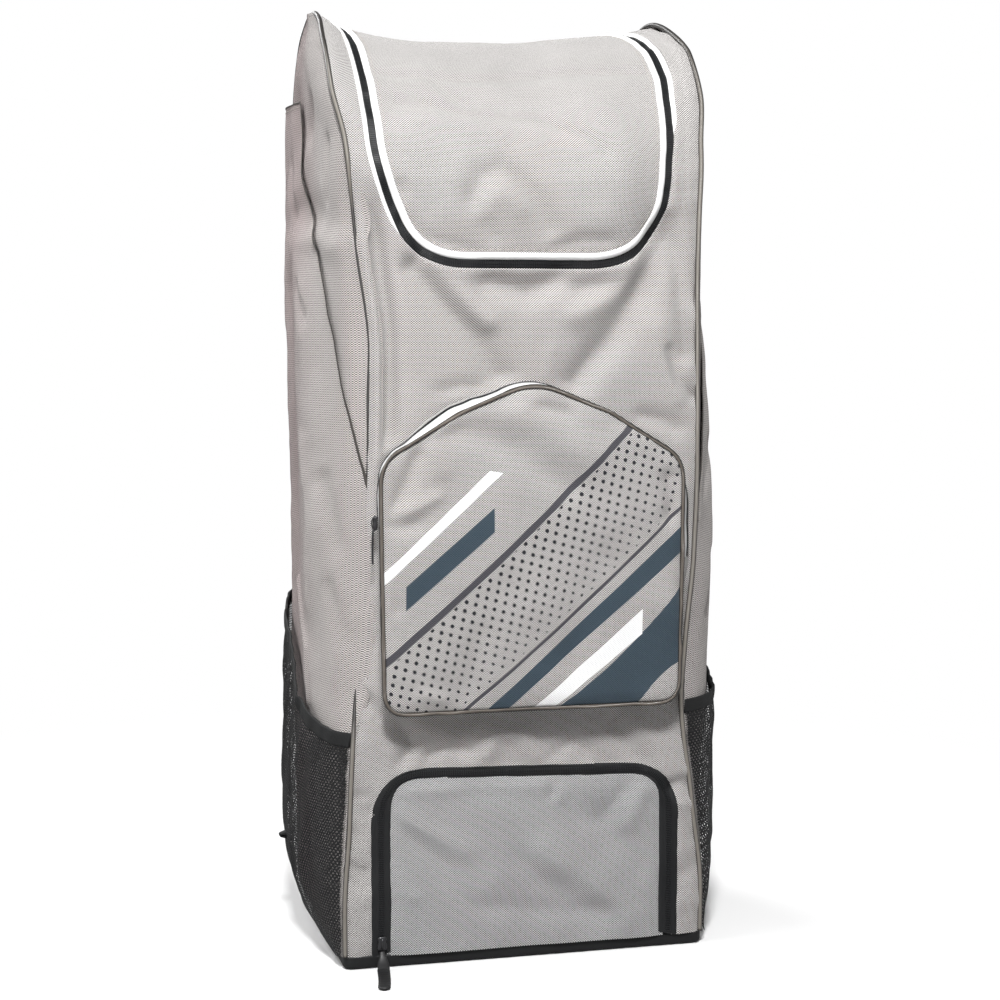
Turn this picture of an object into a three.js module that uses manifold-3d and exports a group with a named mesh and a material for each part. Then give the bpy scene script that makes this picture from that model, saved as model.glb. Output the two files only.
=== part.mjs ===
// Tall cricket kit bag standing on its base, in millimetres.
// X runs to the right, the front faces -Y, Z is up, and the origin is the middle of the underside.
import * as THREE from "three";
import { mergeVertices } from "three/addons/utils/BufferGeometryUtils.js";
import Module from "manifold-3d";

const wasm = await Module();
wasm.setup();

// Body
const HEIGHT = 880;
const WIDTH = 344;
const DEPTH = 300;
const ARCH_HEIGHT = 165;
const TOP_SAG = 26;
const CLOTH = 1.6;
const GAP = 0.35;
const SEAM_PIPING = 2.75;
const PIPING_PROUD = 1;
const FOLD_DEPTH = 7;
const FOLD_SPREAD = 30;
const FOLD_MARGIN = 35;
const SEAM_FADE = 30;
const SIDE_TOP_GAP = 20;
const CROWN_LEAN = 0.3;

// Base tray
const TRAY_RIM = 12;
const TRAY_FLOOR = 3;
const TRAY_CORNER = 8;

// Lid and its zip
const LID_MARGIN = 32;
const LID_DROP = 75;
const LID_REACH = 65;
const LID_CORNER_WIDTH = 82;
const LID_CORNER_HEIGHT = 104;
const LID_CORNER_LEAN = 8;
const LID_FLARE_LEFT = 9;
const LID_FLARE_RIGHT = -24;
const LID_ZIP_WIDTH = 8.5;
const LID_TRIM_WIDTH = 6;
const LID_ZIP_PROUD = 0.3;
const LID_TRIM_PROUD = 0.9;

// Front pocket
const POCKET_MARGIN = 31.5;
const POCKET_TAPER = 2.5;
const POCKET_BOTTOM = 239;
const POCKET_HEIGHT = 291;
const POCKET_SHOULDER = 66;
const POCKET_DEPTH = 28;
const POCKET_PUFF = 5;
const POCKET_PIPING = 2.4;
const POCKET_CORNER = 21;
const POCKET_SHOULDER_ROUND = 34;
const POCKET_APEX_ROUND = 60;
const POCKET_ZIP = 3;
const POCKET_ZIP_PROUD = 0.4;
const POCKET_TRIM = 6.5;
const POCKET_TRIM_PROUD = 0.6;
const POCKET_PIPING_DROP = 1;
const POCKET_ZIP_LEFT = 62;
const POCKET_ZIP_RIGHT = 92;

// Shoe compartment
const SHOE_MARGIN = 26;
const SHOE_TOP = 181;
const SHOE_TILT = 4;
const SHOE_CORNER = 54;
const SHOE_ZIP_SIDE = 18;
const SHOE_ZIP_TOP = 10;
const SHOE_SLIDER_RISE = 5;

// Side pockets
const SLEEVE_BULGE = 16;
const SLEEVE_RISE = 64;
const SLEEVE_EDGE = 2.6;
const SLEEVE_TAPE = 1.2;
const MESH_BULGE = 16;
const MESH_HEIGHT = 240;
const BINDING_HEIGHT = 13;
const TAB_LENGTH = 14;
const TAB_HEIGHT = 86;
const TAB_DEPTH = 18;

// Sliders and pulls
const SLIDER = { length: 13, width: 9, thick: 4 };
const POCKET_PULL = { length: 30, width: 3.2, thick: 1.8 };
const SHOE_PULL = { reach: 59, width: 11, neck: 5, end: 6.6, thick: 3, lift: 0.3 };

// Way of the shoe door's pull: steps from its slider in millimetres, and height as a share of the slider's
const PULL_ROUTE = [
  { forward: 0, aside: 0, height: 1 },
  { forward: 3, aside: 0, height: 0.66 },
  { forward: 12, aside: -1, height: 0.16 },
  { forward: 33, aside: -4, height: 0 },
  { forward: 59, aside: -9, height: 0 },
];

// Facets
const CELL = 40;
const ARCH_CELL = 32;
const BODY_CELLS = 8;
const SIDE_CELLS = 7;
const PATH_STEP = 24;
const CORD_SIDES = 5;
const BOW = 0.0001;

// Pull of the seams towards the middle, in shares of the height and of half the width
const EDGE_PULL = [
  { height: 0, left: 0, right: 0 },
  { height: 0.05, left: 0, right: 0 },
  { height: 0.16, left: 0.03, right: 0.06 },
  { height: 0.27, left: 0.06, right: 0.12 },
  { height: 0.34, left: 0.1, right: 0.1 },
  { height: 0.42, left: 0.12, right: 0.06 },
  { height: 0.52, left: 0.14, right: 0.04 },
  { height: 0.64, left: 0.15, right: 0.04 },
  { height: 0.74, left: 0.09, right: 0.045 },
  { height: 0.85, left: 0.03, right: 0.03 },
  { height: 0.91, left: -0.025, right: 0 },
  { height: 0.955, left: -0.03, right: 0 },
  { height: 1, left: -0.01, right: 0.06 },
];

// Outward bulge of the side cloths, in shares of the height and of half the width
const SIDE_BULGE = [
  { height: 0, left: 0, right: 0 },
  { height: 0.04, left: 0.01, right: 0.01 },
  { height: 0.12, left: 0.03, right: 0.03 },
  { height: 0.3, left: 0.03, right: 0.05 },
  { height: 0.5, left: 0.03, right: 0.06 },
  { height: 0.7, left: 0.04, right: 0.06 },
  { height: 0.84, left: 0.05, right: 0.06 },
  { height: 0.93, left: 0.05, right: 0.05 },
  { height: 1, left: 0.01, right: 0.02 },
];

// How far the bat sleeves stand off the side cloths, in shares of the height and of SLEEVE_BULGE
const SLEEVE_LIFT = [
  { height: 0, left: 0.02, right: 0.02 },
  { height: 0.03, left: 0.45, right: 0.5 },
  { height: 0.1, left: 0.65, right: 0.8 },
  { height: 0.3, left: 0.6, right: 1.1 },
  { height: 0.45, left: 0.7, right: 1.2 },
  { height: 0.6, left: 0.8, right: 1.1 },
  { height: 0.7, left: 0.75, right: 0.75 },
  { height: 0.85, left: 0.55, right: 0.6 },
  { height: 1, left: 0.5, right: 0.5 },
];

// How far the net pockets stand off the sleeves, in shares of their own height and of MESH_BULGE
const MESH_LIFT = [
  { height: 0, left: 0.1, right: 0.1 },
  { height: 0.15, left: 0.6, right: 0.5 },
  { height: 0.5, left: 0.8, right: 0.7 },
  { height: 0.85, left: 0.6, right: 0.6 },
  { height: 1, left: 0.4, right: 0.45 },
];

// Sewn front edge of a bat sleeve: depth from -1 at the front to 1 at the back, share of the height
const SLEEVE_SEAM = [
  { depth: -1.02, height: 0.5 },
  { depth: -0.93, height: 0.557 },
  { depth: -0.86, height: 0.606 },
  { depth: -0.8, height: 0.67 },
  { depth: -0.74, height: 0.724 },
  { depth: -0.61, height: 0.757 },
  { depth: -0.46, height: 0.8 },
  { depth: -0.42, height: 0.84 },
  { depth: -0.5, height: 0.9 },
];

// Open mouth of a bat sleeve, from the end of its seam to the back
const SLEEVE_MOUTH = [
  { depth: -0.3, height: 0.904 },
  { depth: 0.1, height: 0.906 },
  { depth: 0.5, height: 0.908 },
  { depth: 1.02, height: 0.91 },
];

// Mouth of a net pocket: depth as above, share of MESH_HEIGHT
const MESH_MOUTH = [
  { depth: -1, left: 0.91, right: 0.98 },
  { depth: -0.8, left: 0.925, right: 0.98 },
  { depth: -0.5, left: 0.99, right: 1.01 },
  { depth: -0.2, left: 1.08, right: 1.06 },
  { depth: 0.2, left: 1.2, right: 1.15 },
  { depth: 0.6, left: 1.27, right: 1.22 },
  { depth: 1, left: 1.3, right: 1.26 },
];

// Sag of the cloth between the two ears, in shares of half the width and of TOP_SAG
const SAG_ACROSS = [
  { across: -1, drop: 0.1 },
  { across: -0.93, drop: 0.35 },
  { across: -0.86, drop: 0.62 },
  { across: -0.7, drop: 0.8 },
  { across: -0.3, drop: 0.95 },
  { across: 0, drop: 1 },
  { across: 0.4, drop: 0.75 },
  { across: 0.65, drop: 0.55 },
  { across: 0.85, drop: 0.35 },
  { across: 1, drop: 0.05 },
];

// Broad folds of the front: ends in shares of half the width and of the height, rise in shares
// of FOLD_DEPTH and spread in shares of FOLD_SPREAD
const FRONT_FOLDS = [
  { x0: -0.5, z0: 0.72, x1: -0.08, z1: 0.6, rise: -0.8, spread: 0.8 },
  { x0: -0.62, z0: 0.68, x1: -0.25, z1: 0.58, rise: 0.6, spread: 0.8 },
  { x0: 0.62, z0: 0.71, x1: 0.3, z1: 0.61, rise: -0.7, spread: 0.8 },
  { x0: -0.72, z0: 0.76, x1: -0.7, z1: 0.6, rise: 0.8, spread: 0.7 },
  { x0: 0.75, z0: 0.7, x1: 0.8, z1: 0.56, rise: 0.7, spread: 0.7 },
  { x0: -0.35, z0: 0.88, x1: 0.35, z1: 0.85, rise: -0.7, spread: 1 },
  { x0: -0.1, z0: 0.8, x1: 0.2, z1: 0.77, rise: 0.5, spread: 1.2 },
];

// Broad folds of the sides: ends in shares of half the depth and of the height
const SIDE_FOLDS = [
  { y0: -0.75, z0: 0.62, y1: -0.2, z1: 0.52, rise: -0.6, spread: 1 },
  { y0: -0.6, z0: 0.42, y1: -0.1, z1: 0.3, rise: 0.6, spread: 1 },
  { y0: 0.3, z0: 0.7, y1: 0.6, z1: 0.45, rise: -0.5, spread: 1.2 },
];

// Sizes that follow
const HALF_WIDTH = WIDTH / 2;
const HALF_DEPTH = DEPTH / 2;
const LID_WIDTH = WIDTH - 2 * LID_MARGIN;
const POCKET_WIDTH = WIDTH - 2 * POCKET_MARGIN;
const SHOE_WIDTH = WIDTH - 2 * SHOE_MARGIN;
const FRONT_LENGTH = HEIGHT - ARCH_HEIGHT;
const ARCH_LENGTH = Math.PI * Math.hypot(HALF_DEPTH, ARCH_HEIGHT) / Math.SQRT2;
const GIRTH = 2 * FRONT_LENGTH + ARCH_LENGTH;
const APEX = FRONT_LENGTH + ARCH_LENGTH / 2;
const SEAM_INSET = 2 * SEAM_PIPING - PIPING_PROUD + GAP;
const PANEL_FOOT = TRAY_RIM + GAP;
const LID_END = APEX + LID_REACH;
const LID_FRAME = LID_ZIP_WIDTH / 2 + 2 * GAP + LID_TRIM_WIDTH;
const SIDE_TOP = APEX - SIDE_TOP_GAP;
const PAST_SIDE = HALF_DEPTH + 2 * CLOTH;
const LEFT = -1;
const RIGHT = 1;

// Colours and finishes
const CLOTH_GREY = { color: 0xbcb5b0, roughness: 0.85, metalness: 0 };
const DOOR_GREY = { color: 0xb6b6b6, roughness: 0.85, metalness: 0 };
const PIPING_GREY = { color: 0x6f6a62, roughness: 0.7, metalness: 0 };
const TRIM_WHITE = { color: 0xf1f1f1, roughness: 0.6, metalness: 0 };
const TAPE_BLACK = { color: 0x1c1d1f, roughness: 0.75, metalness: 0 };
const NET_BLACK = { color: 0x242526, roughness: 0.8, metalness: 0 };
const SLIDER_METAL = { color: 0x303236, roughness: 0.45, metalness: 0.6 };

const bag = new THREE.Group();

// Smooth value of one column of a table at a position
function lookUp(table, key, column, at) {
  const last = table.length - 1;
  if (at <= table[0][key]) return table[0][column];
  if (at >= table[last][key]) return table[last][column];
  const next = table.findIndex((row) => row[key] > at);
  const low = table[next - 1];
  const high = table[next];
  const share = THREE.MathUtils.smoothstep(at, low[key], high[key]);
  return THREE.MathUtils.lerp(low[column], high[column], share);
}

function columnOf(side) {
  return side === LEFT ? "left" : "right";
}

// Side outline of the bag at a distance along it: up the front, over the arch, down the back
function outlineAt(along) {
  if (along <= FRONT_LENGTH) return { y: -HALF_DEPTH, z: along, ny: -1, nz: 0, top: 0 };
  if (along >= GIRTH - FRONT_LENGTH) return { y: HALF_DEPTH, z: GIRTH - along, ny: 1, nz: 0, top: 0 };
  const angle = Math.PI * (along - FRONT_LENGTH) / ARCH_LENGTH;
  const ny = -Math.cos(angle) * ARCH_HEIGHT;
  const nz = Math.sin(angle) * HALF_DEPTH;
  const length = Math.hypot(ny, nz);
  return {
    y: -HALF_DEPTH * Math.cos(angle),
    z: FRONT_LENGTH + ARCH_HEIGHT * Math.sin(angle),
    ny: ny / length,
    nz: nz / length,
    top: Math.sin(angle),
  };
}

// Share of half the width by which a side seam is pulled in
function seamPull(side, along) {
  const share = outlineAt(along).z / HEIGHT;
  if (along <= APEX) return lookUp(EDGE_PULL, "height", columnOf(side), share);
  return EDGE_PULL[EDGE_PULL.length - 1][columnOf(side)] * share * share;
}

function seamX(side, along) {
  return side * HALF_WIDTH * (1 - seamPull(side, along));
}

// Rise of a table of straight folds at a point given in millimetres
function foldRise(folds, across, up, halfWidth, names) {
  let rise = 0;
  for (const fold of folds) {
    const startA = fold[names[0]] * halfWidth;
    const startZ = fold.z0 * HEIGHT;
    const runA = fold[names[1]] * halfWidth - startA;
    const runZ = fold.z1 * HEIGHT - startZ;
    const length2 = runA * runA + runZ * runZ;
    const share = ((across - startA) * runA + (up - startZ) * runZ) / length2;
    const near = THREE.MathUtils.clamp(share, 0, 1);
    const away = Math.hypot(across - startA - near * runA, up - startZ - near * runZ);
    const spread = fold.spread * FOLD_SPREAD;
    rise += fold.rise * FOLD_DEPTH * Math.exp(-((away / spread) ** 2));
  }
  return rise;
}

// How freely the front folds at a point: the cloth is held flat at the seams and round its pocket
function foldFreedom(x, along) {
  const half = POCKET_WIDTH / 2;
  const top = POCKET_BOTTOM + POCKET_HEIGHT - POCKET_SHOULDER * (Math.abs(x) / half) ** 1.5;
  const away = Math.max(Math.abs(x) - half, along - top, POCKET_BOTTOM - along);
  const inner = HALF_WIDTH - SEAM_INSET;
  const seam = 1 - THREE.MathUtils.smoothstep(Math.abs(x), inner - FOLD_MARGIN, inner);
  return seam * THREE.MathUtils.smoothstep(away, CELL, CELL * 2.5);
}

// The front, top and back cloth: a point across the bag, along its outline and out of the cloth
function onBody(x, along, out) {
  const line = outlineAt(along);
  const across = x / HALF_WIDTH;
  const sag = TOP_SAG * line.top * lookUp(SAG_ACROSS, "across", "drop", across);
  const folds = along < APEX ? foldRise(FRONT_FOLDS, x, along, HALF_WIDTH, ["x0", "x1"]) : 0;
  const reach = out + folds * foldFreedom(x, along) - sag;
  return new THREE.Vector3(x, line.y + line.ny * reach, line.z + line.nz * reach);
}

// Share of a side's full bulge between its front and back seams
function crown(depth) {
  return (1 - Math.abs(depth) ** 3) * (1 - CROWN_LEAN * depth);
}

// A side cloth: depth from -1 at the front seam to 1 at the back seam, distance up the outline, and out
function onSide(side, depth, along, out) {
  const angle = (Math.PI / 2) * THREE.MathUtils.clamp((along - FRONT_LENGTH) / (ARCH_LENGTH / 2), 0, 1);
  const lift = Math.sin(angle);
  const y = depth * (HALF_DEPTH - SEAM_INSET) * Math.cos(angle);
  const z = along <= FRONT_LENGTH ? along : FRONT_LENGTH + (ARCH_HEIGHT - SEAM_INSET) * lift;
  const near = Math.exp(-(1 + depth) * HALF_DEPTH / SEAM_FADE) * (1 - lift) + lift * (1 - depth) / 2;
  const far = Math.exp(-(1 - depth) * HALF_DEPTH / SEAM_FADE) * (1 - lift) + lift * (1 + depth) / 2;
  const pull = seamPull(side, along) * near + seamPull(side, GIRTH - along) * far;
  const bulge = lookUp(SIDE_BULGE, "height", columnOf(side), z / HEIGHT) * crown(depth);
  const folds = foldRise(SIDE_FOLDS, y, z, HALF_DEPTH, ["y0", "y1"]) * crown(depth) * (1 - lift);
  return new THREE.Vector3(side * (HALF_WIDTH * (1 - pull + bulge) + folds + out), y, z);
}

function onSleeveEdge(row) {
  return new THREE.Vector2(row.depth * HALF_DEPTH, row.height * HEIGHT);
}

// Distance from a point of a side to the sewn front edge of its bat sleeve
function awayFromSleeveEdge(depth, along) {
  const point = new THREE.Vector2(depth * HALF_DEPTH, along);
  const seam = SLEEVE_SEAM.map(onSleeveEdge);
  let nearest = Infinity;
  for (let i = 1; i < seam.length; i++) {
    const run = seam[i].clone().sub(seam[i - 1]);
    const share = THREE.MathUtils.clamp(point.clone().sub(seam[i - 1]).dot(run) / run.lengthSq(), 0, 1);
    nearest = Math.min(nearest, point.distanceTo(seam[i - 1].clone().addScaledVector(run, share)));
  }
  return nearest;
}

// Outer face of the bat sleeve over the side cloth
function sleeveOut(side, depth, along) {
  const sewn = THREE.MathUtils.smoothstep(awayFromSleeveEdge(depth, along), 0, SLEEVE_RISE);
  const lift = lookUp(SLEEVE_LIFT, "height", columnOf(side), along / HEIGHT) * crown(depth);
  return GAP + CLOTH + SLEEVE_BULGE * lift * sewn;
}

function meshMouth(side, depth) {
  return MESH_HEIGHT * lookUp(MESH_MOUTH, "depth", columnOf(side), depth);
}

// Outer face of the net pocket over the side cloth
function meshOut(side, depth, along) {
  const share = (along - PANEL_FOOT) / (meshMouth(side, depth) - PANEL_FOOT);
  const lift = lookUp(MESH_LIFT, "height", columnOf(side), share) * crown(depth);
  return sleeveOut(side, depth, along) + GAP + CLOTH + MESH_BULGE * lift;
}

// A closed mesh from vertices and triangles
function geometryOf(points, faces) {
  const geometry = new THREE.BufferGeometry();
  geometry.setAttribute("position", new THREE.Float32BufferAttribute(points.flat(), 3));
  geometry.setIndex(faces.flat());
  return geometry;
}

function solidOf(geometry) {
  const bare = geometry.clone();
  bare.deleteAttribute("normal");
  bare.deleteAttribute("uv");
  const merged = mergeVertices(bare, 1e-4);
  const vertProperties = new Float32Array(merged.attributes.position.array);
  const triVerts = new Uint32Array(merged.index.array);
  return new wasm.Manifold(new wasm.Mesh({ numProp: 3, vertProperties, triVerts }));
}

function geometryFrom(solid) {
  const mesh = solid.getMesh();
  const geometry = new THREE.BufferGeometry();
  const points = new Float32Array(mesh.numVert * 3);
  for (let i = 0; i < mesh.numVert; i++) {
    for (let k = 0; k < 3; k++) points[3 * i + k] = mesh.vertProperties[i * mesh.numProp + k];
  }
  geometry.setAttribute("position", new THREE.BufferAttribute(points, 3));
  geometry.setIndex(new THREE.BufferAttribute(new Uint32Array(mesh.triVerts), 1));
  return geometry;
}

function add(name, geometry, finish) {
  const shape = geometry.clone();
  shape.computeVertexNormals();
  const mesh = new THREE.Mesh(shape, new THREE.MeshStandardMaterial(finish));
  mesh.name = name;
  bag.add(mesh);
}

// Evenly spread values from start to end, no further apart than step
function spread(start, end, step) {
  const count = Math.max(1, Math.ceil(Math.abs(end - start) / step));
  return Array.from({ length: count + 1 }, (_, i) => THREE.MathUtils.lerp(start, end, i / count));
}

// Stations along the outline that all pieces share, so that their facets stay parallel
const FRONT_ROWS = spread(PANEL_FOOT, FRONT_LENGTH, CELL);
const ARCH_ROWS = spread(FRONT_LENGTH, APEX, ARCH_CELL);
const UP_ROWS = [...FRONT_ROWS, ...ARCH_ROWS.slice(1)];
const ALL_ROWS = [...UP_ROWS, ...UP_ROWS.slice(0, -1).reverse().map((along) => GIRTH - along)];

function rowsBetween(low, high) {
  const clear = CELL / 8;
  return [low, ...ALL_ROWS.filter((along) => along > low + clear && along < high - clear), high];
}

// The placing of a surface made straight between the stations of its grid, for all that lies on it
function facetPlace(rows, columnsAt, place) {
  const grid = rows.map(columnsAt);
  const spot = (row, i) => new THREE.Vector3(grid[row][i], rows[row], 0);
  return (a, b, out) => {
    let row = 0;
    while (row < rows.length - 2 && rows[row + 1] < b) row++;
    const share = (b - rows[row]) / (rows[row + 1] - rows[row]);
    let i = 0;
    const last = grid[row].length - 2;
    while (i < last && THREE.MathUtils.lerp(grid[row][i + 1], grid[row + 1][i + 1], share) < a) i++;
    const here = new THREE.Vector3(a, b, 0);
    const start = spot(row, i);
    const far = spot(row + 1, i + 1);
    const turn = (far.x - start.x) * (b - start.y) - (far.y - start.y) * (a - start.x);
    const third = turn < 0 ? spot(row, i + 1) : spot(row + 1, i);
    const weights = new THREE.Vector3();
    new THREE.Triangle(start, far, third).getBarycoord(here, weights);
    const point = new THREE.Vector3();
    point.addScaledVector(place(start.x, start.y, out), weights.x);
    point.addScaledVector(place(far.x, far.y, out), weights.y);
    return point.addScaledVector(place(third.x, third.y, out), weights.z);
  };
}

// Height by which a laid-out sheet is bowed, so that its cells stay apart when it is cut
function bowAt(a, b) {
  return BOW * (a * a + b * b + a * b);
}

// A sheet laid out flat: rows along it, and in each row the same number of columns from low to high
function flatSheet(rows, columnsAt, top, bottom) {
  const points = [];
  const faces = [];
  const width = columnsAt(rows[0]).length;
  for (const level of [top, bottom]) {
    for (const row of rows) {
      for (const column of columnsAt(row)) points.push([column, row, level + bowAt(column, row)]);
    }
  }
  const at = (layer, row, column) => (layer * rows.length + row) * width + column;
  const quad = (a, b, c, d) => faces.push([a, b, c], [a, c, d]);
  for (let row = 0; row + 1 < rows.length; row++) {
    for (let i = 0; i + 1 < width; i++) {
      quad(at(0, row, i), at(0, row, i + 1), at(0, row + 1, i + 1), at(0, row + 1, i));
      quad(at(1, row, i), at(1, row + 1, i), at(1, row + 1, i + 1), at(1, row, i + 1));
    }
    quad(at(1, row, 0), at(0, row, 0), at(0, row + 1, 0), at(1, row + 1, 0));
    const end = width - 1;
    quad(at(0, row, end), at(1, row, end), at(1, row + 1, end), at(0, row + 1, end));
  }
  for (let i = 0; i + 1 < width; i++) {
    quad(at(1, 0, i), at(1, 0, i + 1), at(0, 0, i + 1), at(0, 0, i));
    const end = rows.length - 1;
    quad(at(0, end, i), at(0, end, i + 1), at(1, end, i + 1), at(1, end, i));
  }
  return geometryOf(points, faces);
}

// A straight cutter through laid-out sheets
function cutter(outline) {
  const tall = DEPTH;
  const shape = new THREE.Shape(outline.map((point) => new THREE.Vector2(point.x, point.y)));
  const prism = new THREE.ExtrudeGeometry(shape, { depth: 2 * tall, bevelEnabled: false });
  prism.translate(0, 0, -tall);
  return solidOf(prism);
}

// Lay a flat sheet's points onto the bag
function wrap(geometry, place) {
  const positions = geometry.attributes.position;
  for (let i = 0; i < positions.count; i++) {
    const a = positions.getX(i);
    const b = positions.getY(i);
    const point = place(a, b, positions.getZ(i) - bowAt(a, b));
    positions.setXYZ(i, point.x, point.y, point.z);
  }
  return geometry;
}

// Sideways directions at the points of a path in a laid-out sheet
function sideways(path, closed) {
  return path.map((point, i) => {
    const count = path.length;
    const before = closed ? path[(i + count - 1) % count] : path[Math.max(0, i - 1)];
    const after = closed ? path[(i + 1) % count] : path[Math.min(count - 1, i + 1)];
    const run = after.clone().sub(before).normalize();
    return new THREE.Vector2(-run.y, run.x);
  });
}

function offsetPath(path, distance, closed) {
  const normals = sideways(path, closed);
  return path.map((point, i) => point.clone().addScaledVector(normals[i], distance));
}

// A strip that follows a path: section gives its sideways and outward corners, counter-clockwise
function strip(path, closed, section, place) {
  const normals = sideways(path, closed);
  const points = [];
  const faces = [];
  const corners = section(0, path[0]).length;
  path.forEach((point, i) => {
    for (const [aside, out] of section(i, point)) {
      const spot = point.clone().addScaledVector(normals[i], aside);
      const placed = place(spot.x, spot.y, out);
      points.push([placed.x, placed.y, placed.z]);
    }
  });
  const rings = path.length;
  for (let i = 0; i < (closed ? rings : rings - 1); i++) {
    const next = (i + 1) % rings;
    for (let k = 0; k < corners; k++) {
      const turn = (k + 1) % corners;
      const [a, b, c, d] = [i * corners + k, i * corners + turn, next * corners + turn, next * corners + k];
      faces.push([a, b, c], [a, c, d]);
    }
  }
  if (!closed) {
    const last = (rings - 1) * corners;
    for (let k = 1; k + 1 < corners; k++) {
      faces.push([0, k + 1, k], [last, last + k, last + k + 1]);
    }
  }
  return facingOut(geometryOf(points, faces));
}

// Turn a closed mesh so that its faces point out
function facingOut(geometry) {
  const index = geometry.index.array;
  const corner = [new THREE.Vector3(), new THREE.Vector3(), new THREE.Vector3()];
  let volume = 0;
  for (let i = 0; i < index.length; i += 3) {
    for (let k = 0; k < 3; k++) corner[k].fromBufferAttribute(geometry.attributes.position, index[i + k]);
    volume += corner[0].dot(corner[1].clone().cross(corner[2]));
  }
  if (volume > 0) return geometry;
  for (let i = 0; i < index.length; i += 3) [index[i + 1], index[i + 2]] = [index[i + 2], index[i + 1]];
  return geometry;
}

function band(low, high, bottom, top) {
  return [[low, bottom], [high, bottom], [high, top], [low, top]];
}

function roundSection(radius, out, sides) {
  return Array.from({ length: sides }, (_, i) => {
    const angle = (2 * Math.PI * (i + 0.5)) / sides;
    return [radius * Math.cos(angle), out + radius * Math.sin(angle)];
  });
}

// A closed outline from corner points, each rounded by its own radius
function roundedOutline(corners, step) {
  const outline = [];
  corners.forEach((corner, i) => {
    const before = corners[(i + corners.length - 1) % corners.length];
    const after = corners[(i + 1) % corners.length];
    const here = new THREE.Vector2(corner.x, corner.y);
    const toBefore = new THREE.Vector2(before.x, before.y).sub(here);
    const toAfter = new THREE.Vector2(after.x, after.y).sub(here);
    const half = Math.acos(toBefore.clone().normalize().dot(toAfter.clone().normalize())) / 2;
    const reach = Math.min(corner.round / Math.tan(half), toBefore.length() * 0.45, toAfter.length() * 0.45);
    const start = here.clone().addScaledVector(toBefore.normalize(), reach);
    const end = here.clone().addScaledVector(toAfter.normalize(), reach);
    const bend = new THREE.QuadraticBezierCurve(start, here, end);
    outline.push(...bend.getPoints(Math.max(2, Math.round((2 * reach) / step))));
  });
  return outline;
}

// Points added to the long straight runs of a path
function refine(path, step, closed) {
  const fine = [];
  const runs = closed ? path.length : path.length - 1;
  for (let i = 0; i < runs; i++) {
    const start = path[i];
    const end = path[(i + 1) % path.length];
    const parts = Math.max(1, Math.round(start.distanceTo(end) / step));
    for (let k = 0; k < parts; k++) fine.push(start.clone().lerp(end, k / parts));
  }
  if (!closed) fine.push(path[path.length - 1].clone());
  return fine;
}

// Middle line of the lid's zip, from the left end over the top round the flap to the right end
function lidPath() {
  const low = FRONT_LENGTH - LID_DROP;
  const half = LID_WIDTH / 2;
  const corner = (side) => [
    new THREE.Vector2(side * half, low + LID_CORNER_HEIGHT),
    new THREE.Vector2(side * (half - LID_CORNER_LEAN), low),
    new THREE.Vector2(side * (half - LID_CORNER_WIDTH), low),
  ];
  const [leftHigh, leftTurn, leftLow] = corner(LEFT);
  const [rightHigh, rightTurn, rightLow] = corner(RIGHT);
  const legs = spread(LID_END, leftHigh.y, PATH_STEP * 1.4).slice(0, -1);
  const share = (along) => Math.min(1, (along - leftHigh.y) / (APEX - leftHigh.y));
  return [
    ...legs.map((along) => new THREE.Vector2(-half - LID_FLARE_LEFT * share(along), along)),
    ...new THREE.QuadraticBezierCurve(leftHigh, leftTurn, leftLow).getPoints(9),
    ...refine([leftLow, rightLow], PATH_STEP * 2, false).slice(1, -1),
    ...new THREE.QuadraticBezierCurve(rightLow, rightTurn, rightHigh).getPoints(9),
    ...legs.toReversed().map((along) => new THREE.Vector2(half + LID_FLARE_RIGHT * share(along) ** 2, along)),
  ];
}

// The region inside a line beside the lid's zip, carried on past its ends
function lidRegion(distance) {
  const edge = offsetPath(lidPath(), distance, false);
  const beyond = LID_END + CELL;
  return [new THREE.Vector2(edge[0].x, beyond), ...edge, new THREE.Vector2(edge[edge.length - 1].x, beyond)];
}

// Outer line of the shoe door's zip, or a line inside it by the given widths and then by an inset
function shoeOutline(side, top, inset) {
  const half = SHOE_WIDTH / 2 - side;
  const high = SHOE_TOP - top;
  const round = SHOE_CORNER - Math.min(Math.max(side, 0) * 1.4, SHOE_CORNER / 2);
  const arch = [
    { x: half, y: -CELL, round: 1 },
    { x: half, y: high - SHOE_TILT, round },
    { x: -half, y: high + SHOE_TILT, round },
    { x: -half, y: -CELL, round: 1 },
  ];
  const outline = roundedOutline(arch, PATH_STEP * 0.6);
  return offsetPath(outline, inset, true);
}

// Outline of the front pocket, inside its widest line by a distance
function pocketOutline(inset) {
  const half = POCKET_WIDTH / 2;
  const shoulder = POCKET_BOTTOM + POCKET_HEIGHT - POCKET_SHOULDER;
  const slope = shoulder + POCKET_SHOULDER * 0.65;
  const corners = [
    { x: -half + POCKET_TAPER, y: POCKET_BOTTOM, round: POCKET_CORNER },
    { x: half - POCKET_TAPER, y: POCKET_BOTTOM, round: POCKET_CORNER },
    { x: half, y: shoulder, round: POCKET_SHOULDER_ROUND },
    { x: half / 2, y: slope, round: POCKET_APEX_ROUND },
    { x: 0, y: POCKET_BOTTOM + POCKET_HEIGHT + POCKET_SHOULDER / 12, round: POCKET_APEX_ROUND },
    { x: -half / 2, y: slope, round: POCKET_APEX_ROUND },
    { x: -half, y: shoulder, round: POCKET_SHOULDER_ROUND },
  ];
  const outline = refine(roundedOutline(corners, PATH_STEP * 0.8), PATH_STEP * 1.5, true);
  return offsetPath(outline, inset, true);
}

function bodyEdges(row) {
  return [seamX(LEFT, row) + SEAM_INSET, seamX(RIGHT, row) - SEAM_INSET];
}

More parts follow.
